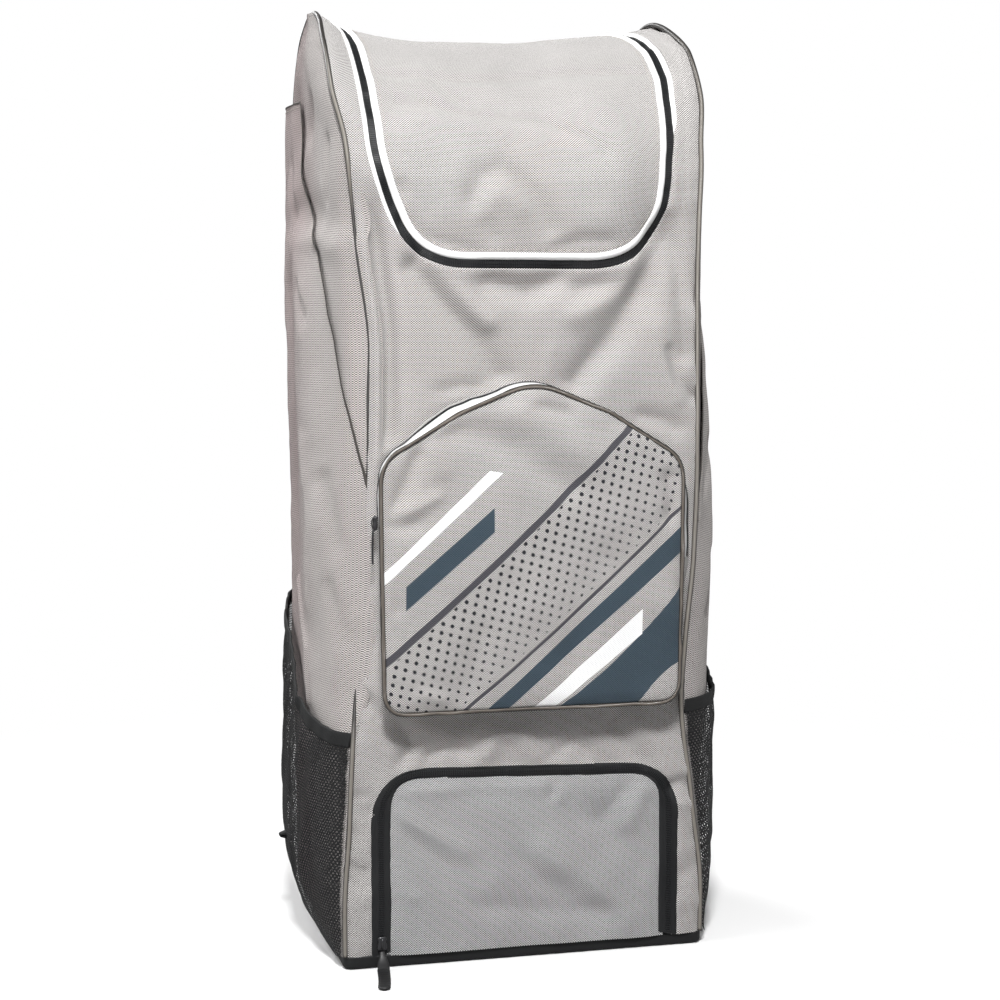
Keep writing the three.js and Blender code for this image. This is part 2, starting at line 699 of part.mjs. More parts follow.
// Columns of the front, top and back: straight between the shared stations
function bodyColumns(row) {
  const next = Math.max(1, ALL_ROWS.findIndex((along) => along >= row));
  const share = (row - ALL_ROWS[next - 1]) / (ALL_ROWS[next] - ALL_ROWS[next - 1]);
  const low = bodyEdges(ALL_ROWS[next - 1]);
  const high = bodyEdges(ALL_ROWS[next]);
  const left = THREE.MathUtils.lerp(low[0], high[0], share);
  const right = THREE.MathUtils.lerp(low[1], high[1], share);
  return Array.from({ length: BODY_CELLS + 1 }, (_, i) => THREE.MathUtils.lerp(left, right, i / BODY_CELLS));
}

// Columns of a side, closer together towards its seams
function sideColumns() {
  const turn = Math.PI / SIDE_CELLS;
  return Array.from({ length: SIDE_CELLS + 1 }, (_, i) => -HALF_DEPTH * Math.cos(i * turn));
}

const bodyPlace = facetPlace(ALL_ROWS, bodyColumns, onBody);
const sidePlace = {};
const sleevePlace = {};
const meshPlace = {};
for (const side of [LEFT, RIGHT]) {
  const over = (outer) => (a, b, out) => onSide(side, a / HALF_DEPTH, b, outer(side, a / HALF_DEPTH, b) + out);
  sidePlace[side] = facetPlace(UP_ROWS, sideColumns, over(() => 0));
  sleevePlace[side] = facetPlace(UP_ROWS, sideColumns, over(sleeveOut));
  meshPlace[side] = facetPlace(UP_ROWS, sideColumns, over(meshOut));
}

function addFrontPanel() {
  const rows = rowsBetween(PANEL_FOOT, LID_END);
  let sheet = solidOf(flatSheet(rows, bodyColumns, 0, -CLOTH));
  sheet = sheet.subtract(cutter(lidRegion(-LID_FRAME)));
  sheet = sheet.subtract(cutter(shoeOutline(0, 0, -GAP)));
  add("front_panel", wrap(geometryFrom(sheet), bodyPlace), CLOTH_GREY);
}

function addLid() {
  const rows = rowsBetween(FRONT_LENGTH - LID_DROP, LID_END);
  const sheet = solidOf(flatSheet(rows, bodyColumns, 0, -CLOTH));
  const flap = sheet.intersect(cutter(lidRegion(LID_FRAME)));
  add("lid_flap", wrap(geometryFrom(flap), bodyPlace), CLOTH_GREY);
  const path = lidPath();
  const zip = LID_ZIP_WIDTH / 2;
  const edge = zip + GAP + LID_TRIM_WIDTH;
  add("lid_zip", strip(path, false, () => band(-zip, zip, -CLOTH, LID_ZIP_PROUD), bodyPlace), TAPE_BLACK);
  const inner = () => band(zip + GAP, edge, -CLOTH, LID_TRIM_PROUD);
  const outer = () => band(-edge, -zip - GAP, -CLOTH, LID_TRIM_PROUD);
  add("lid_trim_inner", strip(path, false, inner, bodyPlace), TRIM_WHITE);
  add("lid_trim_outer", strip(path, false, outer, bodyPlace), TRIM_WHITE);
}

function addBackPanel() {
  const rows = rowsBetween(LID_END + GAP, GIRTH - PANEL_FOOT);
  add("back_panel", wrap(flatSheet(rows, bodyColumns, 0, -CLOTH), bodyPlace), CLOTH_GREY);
}

function addTray() {
  const block = (inset, low, high) => {
    const half = HALF_WIDTH - inset;
    const deep = HALF_DEPTH - inset;
    const round = TRAY_CORNER - Math.min(inset, TRAY_CORNER / 2);
    const corners = [[-half, -deep], [half, -deep], [half, deep], [-half, deep]];
    const outline = roundedOutline(corners.map(([x, y]) => ({ x, y, round })), TRAY_CORNER / 2);
    const prism = new THREE.ExtrudeGeometry(new THREE.Shape(outline), { depth: high - low, bevelEnabled: false });
    prism.translate(0, 0, low);
    return solidOf(prism);
  };
  const tray = block(0, 0, TRAY_RIM).subtract(block(2 * CLOTH, TRAY_FLOOR, 2 * TRAY_RIM));
  add("base_panel", geometryFrom(tray), TAPE_BLACK);
}

function addSide(side) {
  const name = columnOf(side);
  const cloth = flatSheet(rowsBetween(PANEL_FOOT, SIDE_TOP), sideColumns, 0, -CLOTH);
  add(`side_panel_${name}`, facingOut(wrap(cloth, sidePlace[side])), CLOTH_GREY);

  const inset = SEAM_PIPING - PIPING_PROUD;
  const rings = [];
  for (const along of ALL_ROWS) {
    const line = outlineAt(along);
    for (const [across, out] of roundSection(SEAM_PIPING, -inset, CORD_SIDES)) {
      const x = seamX(side, along) - side * inset + across;
      rings.push([x, line.y + line.ny * out, line.z + line.nz * out]);
    }
  }
  add(`side_piping_${name}`, tubeOf(rings, CORD_SIDES), PIPING_GREY);
}

// A closed tube from rings of points
function tubeOf(points, sides) {
  const faces = [];
  const rings = points.length / sides;
  for (let i = 0; i + 1 < rings; i++) {
    for (let k = 0; k < sides; k++) {
      const turn = (k + 1) % sides;
      const [a, b, c, d] = [i * sides + k, i * sides + turn, (i + 1) * sides + turn, (i + 1) * sides + k];
      faces.push([a, b, c], [a, c, d]);
    }
  }
  const last = (rings - 1) * sides;
  for (let k = 1; k + 1 < sides; k++) faces.push([0, k + 1, k], [last, last + k, last + k + 1]);
  return facingOut(geometryOf(points, faces));
}

function addSleeve(side) {
  const name = columnOf(side);
  const mouth = [...SLEEVE_SEAM, ...SLEEVE_MOUTH].map(onSleeveEdge);
  const sheet = flatSheet(rowsBetween(PANEL_FOOT, SIDE_TOP), sideColumns, 0, -CLOTH);
  const foot = [new THREE.Vector2(-PAST_SIDE, -CELL), new THREE.Vector2(PAST_SIDE, -CELL)];
  const region = [...foot, ...mouth.toReversed()];
  const sleeve = solidOf(sheet).intersect(cutter(region));
  add(`bat_sleeve_${name}`, facingOut(wrap(geometryFrom(sleeve), sleevePlace[side])), CLOTH_GREY);

  const line = refine(mouth, PATH_STEP * 1.5, false);
  const tape = solidOf(flatSheet(rowsBetween(PANEL_FOOT, SIDE_TOP), sideColumns, GAP + SLEEVE_TAPE, GAP));
  const inner = offsetPath(line, -SLEEVE_EDGE, false);
  const edge = tape.intersect(cutter([...line, ...inner.toReversed()]));
  add(`sleeve_edge_${name}`, facingOut(wrap(geometryFrom(edge), sleevePlace[side])), PIPING_GREY);
}

function addMeshPocket(side) {
  const name = columnOf(side);
  const highest = meshMouth(side, 1) + CELL;
  const sheet = solidOf(flatSheet(rowsBetween(PANEL_FOOT, highest), sideColumns, 0, -CLOTH));
  const line = spread(-PAST_SIDE, PAST_SIDE, PATH_STEP * 1.5);
  const mouth = line.map((a) => new THREE.Vector2(a, meshMouth(side, a / HALF_DEPTH)));
  const hem = offsetPath(mouth, -BINDING_HEIGHT, false);
  const below = offsetPath(hem, -GAP, false);
  const foot = [new THREE.Vector2(PAST_SIDE, -CELL), new THREE.Vector2(-PAST_SIDE, -CELL)];
  const net = sheet.intersect(cutter([...below, ...foot]));
  add(`mesh_pocket_${name}`, facingOut(wrap(geometryFrom(net), meshPlace[side])), NET_BLACK);
  const binding = sheet.intersect(cutter([...mouth, ...hem.toReversed()]));
  add(`mesh_binding_${name}`, facingOut(wrap(geometryFrom(binding), meshPlace[side])), TAPE_BLACK);
}

function addSideTab() {
  const depth = TAB_DEPTH / HALF_DEPTH;
  const start = onSide(LEFT, depth, TAB_HEIGHT, meshOut(LEFT, depth, TAB_HEIGHT) + GAP);
  const tab = new THREE.Shape([
    new THREE.Vector2(0, -TAB_LENGTH / 2),
    new THREE.Vector2(0, TAB_LENGTH / 2),
    new THREE.Vector2(-TAB_LENGTH / 2, TAB_LENGTH / 6),
    new THREE.Vector2(-TAB_LENGTH / 2, -TAB_LENGTH / 20),
  ]);
  const geometry = new THREE.ExtrudeGeometry(tab, { depth: CLOTH, bevelEnabled: false });
  geometry.rotateX(Math.PI / 2);
  geometry.translate(start.x - GAP, start.y, start.z);
  add("side_tab_left", geometryFrom(solidOf(geometry)), TAPE_BLACK);
}

function addFrontPocket() {
  const pipingOut = POCKET_DEPTH - POCKET_PIPING_DROP;
  const gussetTop = pipingOut - POCKET_PIPING - GAP;
  const outline = pocketOutline(0);
  const shoulder = POCKET_BOTTOM + POCKET_HEIGHT - POCKET_SHOULDER;

  const face = pocketOutline(POCKET_PIPING + GAP);
  const rows = spread(POCKET_BOTTOM, POCKET_BOTTOM + POCKET_HEIGHT, CELL);
  const half = POCKET_WIDTH / 2 + CELL / 4;
  const sheet = solidOf(flatSheet(rows, () => spread(-half, half, CELL), 0, -CLOTH));
  const middle = POCKET_BOTTOM + POCKET_HEIGHT / 2;
  const puffed = (x, along, out) => {
    const puff = Math.max(0, 1 - (x / half) ** 2) * Math.max(0, 1 - ((along - middle) / (POCKET_HEIGHT / 2)) ** 2);
    return bodyPlace(x, along, POCKET_DEPTH + POCKET_PUFF * puff + out);
  };
  add("front_pocket_face", wrap(geometryFrom(sheet.intersect(cutter(face))), puffed), CLOTH_GREY);
  const bead = () => roundSection(POCKET_PIPING, pipingOut, CORD_SIDES);
  add("front_pocket_piping", strip(outline, true, bead, bodyPlace), PIPING_GREY);

  const zipBottom = gussetTop - POCKET_TRIM - POCKET_ZIP - 2 * GAP;
  const foot = 2 * GAP;
  const isZip = (point) => point.y > shoulder - (point.x < 0 ? POCKET_ZIP_LEFT : POCKET_ZIP_RIGHT);
  const wall = (i, point) => band(0, CLOTH, foot, isZip(point) ? zipBottom : gussetTop);
  add("front_pocket_gusset", strip(outline, true, wall, bodyPlace), CLOTH_GREY);

  const first = outline.findIndex((point, i) => {
    return !isZip(point) && isZip(outline[(i + 1) % outline.length]);
  });
  const count = outline.filter(isZip).length;
  const zipPath = Array.from({ length: count }, (_, i) => outline[(first + 1 + i) % outline.length]);
  const zip = () => band(-POCKET_ZIP_PROUD, CLOTH, zipBottom + GAP, zipBottom + GAP + POCKET_ZIP);
  const trim = () => band(-POCKET_TRIM_PROUD, CLOTH, gussetTop - POCKET_TRIM, gussetTop);
  add("front_pocket_zip", strip(zipPath, false, zip, bodyPlace), TAPE_BLACK);
  add("front_pocket_trim", strip(zipPath, false, trim, bodyPlace), TRIM_WHITE);

  const end = zipPath[zipPath.length - 1];
  const slideOut = zipBottom + GAP + POCKET_ZIP / 2;
  const slider = new THREE.BoxGeometry(SLIDER.thick, SLIDER.width - CLOTH, SLIDER.length);
  const aside = end.x - SLIDER.thick / 2 - 3 * GAP;
  slider.translate(aside, -HALF_DEPTH - slideOut, end.y - SLIDER.length / 2);
  add("front_pocket_slider", slider, SLIDER_METAL);
  const pull = new THREE.BoxGeometry(POCKET_PULL.thick, POCKET_PULL.width, POCKET_PULL.length);
  const pullTop = end.y - SLIDER.length - GAP;
  pull.translate(aside, -HALF_DEPTH - slideOut, pullTop - POCKET_PULL.length / 2);
  add("front_pocket_pull", pull, SLIDER_METAL);
}

function addShoeDoor() {
  const rows = spread(PANEL_FOOT, SHOE_TOP + SHOE_TILT, CELL);
  const half = SHOE_WIDTH / 2;
  const plain = solidOf(flatSheet(rows, () => spread(-half, half, CELL * 1.2), 0, -CLOTH));
  const door = plain.intersect(cutter(shoeOutline(SHOE_ZIP_SIDE, SHOE_ZIP_TOP, GAP)));
  add("shoe_door", wrap(geometryFrom(door), bodyPlace), DOOR_GREY);
  const outer = plain.intersect(cutter(shoeOutline(0, 0, 0)));
  const frame = outer.subtract(cutter(shoeOutline(SHOE_ZIP_SIDE, SHOE_ZIP_TOP, 0)));
  add("shoe_zip", wrap(geometryFrom(frame), bodyPlace), TAPE_BLACK);

  const x = -SHOE_WIDTH / 2 + SHOE_ZIP_SIDE / 2;
  const sliderBase = PANEL_FOOT + SHOE_SLIDER_RISE;
  const slider = new THREE.BoxGeometry(SLIDER.width, SLIDER.thick, SLIDER.length);
  slider.translate(x, -HALF_DEPTH - GAP - SLIDER.thick / 2, sliderBase + SLIDER.length / 2);
  add("shoe_slider", slider, SLIDER_METAL);
  addShoePull(x, sliderBase);
}

// The rubber pull hangs from its slider and lies forward on the floor
function addShoePull(x, height) {
  const front = -HALF_DEPTH - GAP - SLIDER.thick / 2;
  const floor = SHOE_PULL.thick / 2 + SHOE_PULL.lift;
  const top = height - GAP - SHOE_PULL.thick / 4;
  const reach = SHOE_PULL.reach / PULL_ROUTE[PULL_ROUTE.length - 1].forward;
  const route = new THREE.CatmullRomCurve3(PULL_ROUTE.map((row) => {
    const z = THREE.MathUtils.lerp(floor, top, row.height);
    return new THREE.Vector3(x + row.aside * reach, front - row.forward * reach, z);
  }));
  const steps = 14;
  const rings = [];
  for (let i = 0; i <= steps; i++) {
    const point = route.getPointAt(i / steps);
    const up = new THREE.Vector3(1, 0, 0).cross(route.getTangentAt(i / steps)).normalize();
    const neck = THREE.MathUtils.lerp(SHOE_PULL.neck, SHOE_PULL.width, Math.min(1, i / 3));
    const half = (i === steps ? SHOE_PULL.end : neck) / 2;
    for (const [across, out] of band(-half, half, -SHOE_PULL.thick / 2, SHOE_PULL.thick / 2)) {
      const corner = point.clone().addScaledVector(up, out);
      rings.push([corner.x + across, corner.y, corner.z]);
    }
  }
  add("shoe_pull", tubeOf(rings, 4), TAPE_BLACK);
}

addFrontPanel();
addLid();
addBackPanel();
addTray();
for (const side of [LEFT, RIGHT]) {
  addSide(side);
  addSleeve(side);
  addMeshPocket(side);
}
addSideTab();
addFrontPocket();
addShoeDoor();

export default bag;
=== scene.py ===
import bpy
import numpy as np
from mathutils import Matrix


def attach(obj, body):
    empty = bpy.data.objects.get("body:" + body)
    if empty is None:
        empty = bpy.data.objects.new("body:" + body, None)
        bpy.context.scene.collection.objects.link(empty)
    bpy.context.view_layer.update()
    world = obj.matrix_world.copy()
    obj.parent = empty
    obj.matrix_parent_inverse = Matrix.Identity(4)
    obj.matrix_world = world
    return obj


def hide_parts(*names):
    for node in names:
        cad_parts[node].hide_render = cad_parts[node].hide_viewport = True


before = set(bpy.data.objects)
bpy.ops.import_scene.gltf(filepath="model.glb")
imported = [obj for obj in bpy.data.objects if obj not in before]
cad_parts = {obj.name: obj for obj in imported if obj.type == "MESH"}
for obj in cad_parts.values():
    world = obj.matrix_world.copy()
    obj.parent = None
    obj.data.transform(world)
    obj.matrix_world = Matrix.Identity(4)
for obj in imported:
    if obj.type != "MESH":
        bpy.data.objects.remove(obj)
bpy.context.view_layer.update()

# Camera
CAMERA_PLACE = (-0.4482, -1.8669, 0.585)
CAMERA_YAW = 13.82
CAMERA_PITCH = -5.1
CAMERA_LENS = 70.4

# Sizes of the bag in millimetres, as in the solids
HEIGHT = 880.0
WIDTH = 344.0
DEPTH = 300.0
ARCH_HEIGHT = 165.0
TOP_SAG = 26.0
CLOTH = 1.6
GAP = 0.35
PIPING = 2.75
TRAY_RIM = 12.0
LID_WIDTH = 280.0
LID_DROP = 75.0
LID_REACH = 65.0
LID_CORNER_WIDTH = 82.0
LID_CORNER_HEIGHT = 104.0
LID_CORNER_LEAN = 8.0
LID_FLARE_LEFT = 9.0
LID_FLARE_RIGHT = -24.0
LID_ZIP = 8.5
LID_TRIM = 6.0
POCKET_WIDTH = 281.0
POCKET_TAPER = 2.5
POCKET_BOTTOM = 239.0
POCKET_HEIGHT = 291.0
POCKET_SHOULDER = 66.0
POCKET_DEPTH = 28.0
POCKET_PUFF = 5.0
POCKET_PIPING = 2.4
POCKET_CORNER = 21.0
POCKET_SHOULDER_ROUND = 34.0
POCKET_APEX_ROUND = 60.0
POCKET_ZIP_LEFT = 62.0
POCKET_ZIP_RIGHT = 92.0
SHOE_WIDTH = 292.0
SHOE_TOP = 181.0
SHOE_TILT = 4.0
SHOE_CORNER = 54.0
SHOE_ZIP_SIDE = 18.0
SHOE_ZIP_TOP = 10.0
SLEEVE_BULGE = 16.0
SLEEVE_RISE = 64.0
MESH_BULGE = 16.0
MESH_HEIGHT = 240.0
BINDING = 13.0

# Sizes in millimetres that only the dressed bag has
SEAM_INSET = 2.6
NET_PITCH = 2.95
NET_STRAND = 1.5
NET_ROW = NET_PITCH * 0.866
NET_LENGTH = 330.0
SHOE_FOOT = -40.0
SLEEVE_TOP = 0.905 * HEIGHT
TAB_DEPTH = 18.0
TAB_HEIGHT = 86.0
LID_END_SINK = 7.0
POCKET_SLIDER_OUT = 16.0
POCKET_SLIDER_RISE = 13.0
SHOE_SLIDER_RISE = 5.0
PULL_CLEARANCE = 1.75
SLIDER_LENGTH = 13.0
SLIDER_THICK = 3.6
TOOTH_PITCH = 1.7
STITCH_PITCH = 3.4
WEAVE_ACROSS = 1.2
WEAVE_ALONG = 1.03

# Distances in metres between which the floor fades into the white room
FLOOR_FADE = (0.35, 1.1)

# How strongly the creases of each cloth fold it; narrow ones are held back
FRONT_FOLDS = 3.3
BACK_FOLDS = 1.0
SIDE_FOLDS = 1.3
SLEEVE_FOLDS = 2.2
POCKET_FOLDS = 2.5
DOOR_FOLDS = 1.7
NARROW_FOLDS = 2.2
NARROW_CREASE = 8

HALF_WIDTH = WIDTH / 2
HALF_DEPTH = DEPTH / 2
FRONT_LENGTH = HEIGHT - ARCH_HEIGHT
ARCH_LENGTH = np.pi * np.hypot(HALF_DEPTH, ARCH_HEIGHT) / np.sqrt(2)
GIRTH = 2 * FRONT_LENGTH + ARCH_LENGTH
APEX = FRONT_LENGTH + ARCH_LENGTH / 2
LID_END = APEX + LID_REACH
PANEL_FOOT = TRAY_RIM + GAP
LEFT, RIGHT = -1, 1
NAMES = {LEFT: "left", RIGHT: "right"}

# Shares of the height, then shares of half the width or of a bulge for the left and right side
EDGE_PULL = [
    (0, 0, 0), (0.05, 0, 0), (0.16, 0.03, 0.06), (0.27, 0.06, 0.12), (0.34, 0.1, 0.1),
    (0.42, 0.12, 0.06), (0.52, 0.14, 0.04), (0.64, 0.15, 0.04), (0.74, 0.09, 0.045),
    (0.85, 0.03, 0.03), (0.91, -0.025, 0), (0.955, -0.03, 0), (1, -0.01, 0.06),
]
SIDE_BULGE = [
    (0, 0, 0), (0.04, 0.01, 0.01), (0.12, 0.03, 0.03), (0.3, 0.03, 0.05), (0.5, 0.03, 0.06),
    (0.7, 0.04, 0.06), (0.84, 0.05, 0.06), (0.93, 0.05, 0.05), (1, 0.01, 0.02),
]
SLEEVE_LIFT = [
    (0, 0.02, 0.02), (0.03, 0.45, 0.5), (0.1, 0.65, 0.8), (0.3, 0.6, 1.1), (0.45, 0.7, 1.2),
    (0.6, 0.8, 1.1), (0.7, 0.75, 0.75), (0.85, 0.55, 0.6), (1, 0.5, 0.5),
]
MESH_LIFT = [(0, 0.1, 0.1), (0.15, 0.6, 0.5), (0.5, 0.8, 0.7), (0.85, 0.6, 0.6), (1, 0.4, 0.45)]
MESH_MOUTH = [
    (-1, 0.91, 0.98), (-0.8, 0.925, 0.98), (-0.5, 0.99, 1.01), (-0.2, 1.08, 1.06),
    (0.2, 1.2, 1.15), (0.6, 1.27, 1.22), (1, 1.3, 1.26),
]

# Front seam of the sleeves: share of half the depth, share of the height
SLEEVE_SEAM = [
    (-1.02, 0.455), (-0.985, 0.495), (-0.93, 0.54), (-0.87, 0.586), (-0.81, 0.62), (-0.76, 0.653),
    (-0.69, 0.692), (-0.6, 0.73), (-0.46, 0.757), (-0.32, 0.777), (-0.2, 0.797), (-0.11, 0.82),
    (-0.06, 0.85), (-0.07, 0.9),
]

# Share of half the width, share of the sag between the two ears
SAG_ACROSS = [
    (-1, 0.1), (-0.93, 0.35), (-0.86, 0.62), (-0.7, 0.8), (-0.3, 0.95), (0, 1), (0.4, 0.75),
    (0.65, 0.55), (0.85, 0.35), (1, 0.05),
]

# Creases of the front and lid: width, rise, and then the way as steps of across and along
FRONT_CREASES = [
    (10, -3.4, -105, 639, -80, 608, -48, 568, -25, 536), (9, 1.8, -91, 636, -66, 612, -40, 588),
    (12, -3.6, 121, 663, 108, 613, 86, 585, 60, 552, 46, 534), (10, 1.8, 107, 643, 77, 615, 43, 592),
    (11, -3.4, -36, 626, -2, 618, 27, 626), (9, -2.0, 48, 615, 80, 623),
    (7, -2.4, 134, 677, 145, 618, 151, 562), (5, -2.6, 135, 563, 144, 537, 158, 520),
    (7, 1.4, 122, 581, 131, 542, 143, 518), (6, -1.6, -82, 529, -64, 534, -45, 532),
    (7, -2.4, 110, 502, 127, 498, 143, 489), (4, -0.8, -14, 563, -6, 538), (4, 0.9, 20, 563, 17, 538),
    (6, -1.5, -113, 788, -77, 781, -39, 773), (9, 1.0, -96, 773, -60, 763, -24, 754),
    (5, -0.9, -76, 812, -62, 797, -49, 788), (6, -1.4, -23, 770, 19, 766, 55, 753, 69, 741),
    (7, -1.0, -127, 826, -72, 821, 3, 827, 80, 833, 118, 830),
    (9, -1.8, -49, 700, -42, 718, -25, 723, -5, 712, 8, 690, 17, 674),
    (9, 1.0, -40, 697, -25, 704, -10, 692), (30, 2.4, 72, 779, 92, 734, 83, 685),
    (4, -1.2, -117, 708, -112, 701), (5, -1.2, -40, 676, -35, 668),
    (6, -1.3, -109, 676, -89, 661, -54, 652), (6, -1.3, 23, 653, 48, 662, 74, 662),
    (4, -2.0, -157, 258, -148, 249, -139, 237), (4, 1.6, -149, 260, -140, 254, -129, 244),
    (6, -2.0, -118, 222, -109, 206, -117, 192), (7, 1.3, -95, 221, -70, 210, -46, 216),
    (5, -1.6, -91, 196, -72, 203, -53, 195), (6, 1.6, -34, 192, -27, 210, -6, 209, 7, 189),
    (6, -1.4, 29, 188, 47, 200, 59, 189), (6, -1.8, 82, 217, 98, 198, 112, 180),
    (6, 1.3, 110, 214, 125, 194, 134, 169), (5, -1.6, 138, 155, 150, 160, 162, 153),
    (4, 1.0, 146, 140, 158, 139), (4, -0.8, -163, 158, -150, 159), (4, -1.1, -163, 95, -152, 91),
]

# Creases of the shoe door
DOOR_CREASES = [
    (6, 1.3, -119, 168, -53, 168, 18, 164), (4, -1.3, 26, 166, 25, 150), (4, 1.3, 35, 165, 34, 146),
    (7, 1.8, 115, 161, 106, 142, 97, 118), (7, -1.4, 95, 164, 83, 144, 71, 123),
    (7, 1.4, -122, 144, -91, 124, -61, 105), (7, -1.1, -124, 132, -96, 109, -74, 91),
    (12, 2.0, 18, 100, 62, 64, 96, 26), (10, -1.8, -6, 90, 37, 58, 77, 31),
    (8, -1.3, -53, 58, 4, 44, 72, 37), (14, -1.8, 71, 130, 91, 105, 111, 83),
    (10, 0.9, -58, 53, -25, 84, 33, 82), (5, 1.0, -123, 74, -108, 65),
]

# Creases of the front pocket's face
POCKET_CREASES = [
    (7, -2.6, -109, 471, -116, 451, -129, 421), (7, 1.2, -94, 476, -87, 458),
    (5, -1.6, -136, 407, -121, 405, -107, 408), (5, 1.6, -136, 417, -112, 421, -91, 431),
    (13, -2.2, -80, 498, -42, 487, -5, 467, 28, 441), (14, 1.5, -14, 508, 23, 483, 51, 472),
    (5, -1.1, -29, 521, -12, 519), (6, -1.5, 4, 513, 30, 509), (8, -2.4, 129, 447, 133, 428, 129, 415),
    (5, -1.4, -137, 348, -127, 332), (4, 1.0, -136, 336, -131, 322), (5, 1.1, -101, 258, -86, 252),
    (12, -1.0, -51, 304, -60, 269, -67, 246), (16, -1.0, 61, 373, 47, 319, 33, 283),
]

# Creases of the back, below the top from 962 mm on
BACK_CREASES = [
    (34, -6.0, -60, 1300, -80, 1500, -50, 1750), (34, -6.0, 70, 1250, 85, 1480, 60, 1780),
    (22, 4.0, -20, 1180, 30, 1200, 60, 1260), (13, -4.5, -130, 1150, -90, 1200, -70, 1280),
    (11, 3.0, -110, 1140, -60, 1180), (13, -4.5, 130, 1160, 95, 1230, 80, 1300),
    (12, -4.0, -140, 1600, -110, 1680, -120, 1780), (10, 2.6, -118, 1610, -92, 1690),
    (12, -4.0, 135, 1560, 105, 1660, 125, 1760), (20, -3.5, -30, 1640, 20, 1700, 40, 1800),
    (18, -3.0, -50, 1420, 0, 1440, 50, 1425),
]

# Creases of the sides and of the sleeves, with y for across
SIDE_CREASES = {
    LEFT: [
        (15, -2.2, -150, 676, -90, 684, -20, 690, 40, 684), (10, 2.0, -150, 656, -80, 662, 0, 664),
        (10, -3.0, -60, 790, -40, 770), (6, -2.2, -112, 748, -104, 700), (14, 2.0, -30, 740, 10, 715),
        (16, -2.5, 40, 800, 90, 700, 110, 600),
    ],
    RIGHT: [
        (11, -3.0, -120, 700, -30, 690, 60, 710), (12, -2.5, -60, 780, 10, 760),
        (16, -2.5, 50, 790, 95, 700, 110, 600),
    ],
}
SLEEVE_CREASES = {
    LEFT: [
        (3.5, 1.5, -5, 345, -62, 282, -70, 235), (8, -2.2, -100, 442, -122, 385),
        (7, -2.0, -118, 350, -138, 300), (14, 2.0, -60, 470, -78, 400, -70, 330),
        (16, -2.2, 20, 620, 0, 520, 15, 420), (14, -2.0, 70, 560, 60, 440, 80, 330),
        (8, -1.6, -30, 620, -60, 590), (12, -1.8, 40, 740, 20, 690),
    ],
    RIGHT: [
        (8, -2.4, -90, 470, -118, 430), (14, -2.6, -20, 600, -50, 520, -40, 430),
        (16, -2.4, 50, 620, 40, 480, 70, 340), (8, -2.0, -100, 360, -120, 310),
        (12, 2.0, 10, 350, -30, 300, -20, 250),
    ],
}

scene = bpy.context.scene


def smooth(share):
    share = np.clip(share, 0, 1)
    return share * share * (3 - 2 * share)


def hill(at, middle, width):
    """A smooth hill of height 1."""
    return np.exp(-(((at - middle) / width) ** 2))


def between(t, span, first, last, slope, end_slope):
    """Cubic curve from one value and slope to the next, at shares t of a span."""
    low = (1 + 2 * t) * (1 - t) ** 2 * first + t * (1 - t) ** 2 * span * slope
    high = t * t * (3 - 2 * t) * last + t * t * (t - 1) * span * end_slope
    return low + high


def column(table, at, side=None):
    """Value of a table's column at a position, along a curve that never overshoots."""
    rows = np.array(table, float)
    keys = rows[:, 0]
    values = rows[:, 1] if side in (None, LEFT) else rows[:, 2]
    steps = np.diff(keys)
    slopes = np.diff(values) / steps
    turns = np.zeros(len(keys))
    same = slopes[:-1] * slopes[1:] > 0
    turns[1:-1][same] = 2 * slopes[:-1][same] * slopes[1:][same] / (slopes[:-1] + slopes[1:])[same]
    at = np.clip(at, keys[0], keys[-1])
    i = np.clip(np.searchsorted(keys, at, side="right") - 1, 0, len(keys) - 2)
    t = (at - keys[i]) / steps[i]
    return between(t, steps[i], values[i], values[i + 1], turns[i], turns[i + 1])


def noise(a, b, size, seed):
    """Smooth hills and hollows from -1 to 1, about a size apart."""
    grid = np.random.default_rng(seed).uniform(-1, 1, (97, 97))
    u, v = a / size + 500.0, b / size + 500.0
    i, j = np.floor(u).astype(int), np.floor(v).astype(int)
    s, t = smooth(u - i), smooth(v - j)
    low = grid[i % 97, j % 97] * (1 - s) + grid[(i + 1) % 97, j % 97] * s
    high = grid[i % 97, (j + 1) % 97] * (1 - s) + grid[(i + 1) % 97, (j + 1) % 97] * s
    return low * (1 - t) + high * t


def creases(table, a, b, seed, strength):
    """Rise of the cloth from a table of creases, a little wavy along their ways."""
    a = a + 3.5 * noise(a, b, 38, seed)
    b = b + 3.5 * noise(a, b, 38, seed + 1)
    rise = np.zeros(np.shape(a))
    for width, height, *way in table:
        way = np.reshape(way, (-1, 2))
        height = height * (strength if width >= NARROW_CREASE else min(strength, NARROW_FOLDS))
        away = np.full(np.shape(a), 1e9)
        for (a0, b0), (a1, b1) in zip(way[:-1], way[1:]):
            run = (a1 - a0, b1 - b0)
            share = ((a - a0) * run[0] + (b - b0) * run[1]) / (run[0] ** 2 + run[1] ** 2)
            share = np.clip(share, 0, 1)
            away = np.minimum(away, np.hypot(a - a0 - share * run[0], b - b0 - share * run[1]))
        rise += height * hill(away, 0, width * 1.15 + 0.5)
    return rise


def with_end(path, closed):
    """A path, with its first point again at the end if it is closed."""
    return np.vstack([path, path[:1]]) if closed else path


def way_along(path):
    """Distance along a path of each of its points."""
    return np.concatenate([[0], np.cumsum(np.hypot(*np.diff(path, axis=0).T))])


def read_at(points, at, want):
    """Points read between given ones, at wanted distances."""
    return np.stack([np.interp(want, at, part) for part in points.T], 1)


def resample(path, step, closed=False):
    ends = with_end(np.asarray(path, float), closed)
    at = way_along(ends)
    want = np.linspace(0, at[-1], max(2, int(round(at[-1] / step))) + 1)
    return read_at(ends, at, want[:-1] if closed else want)


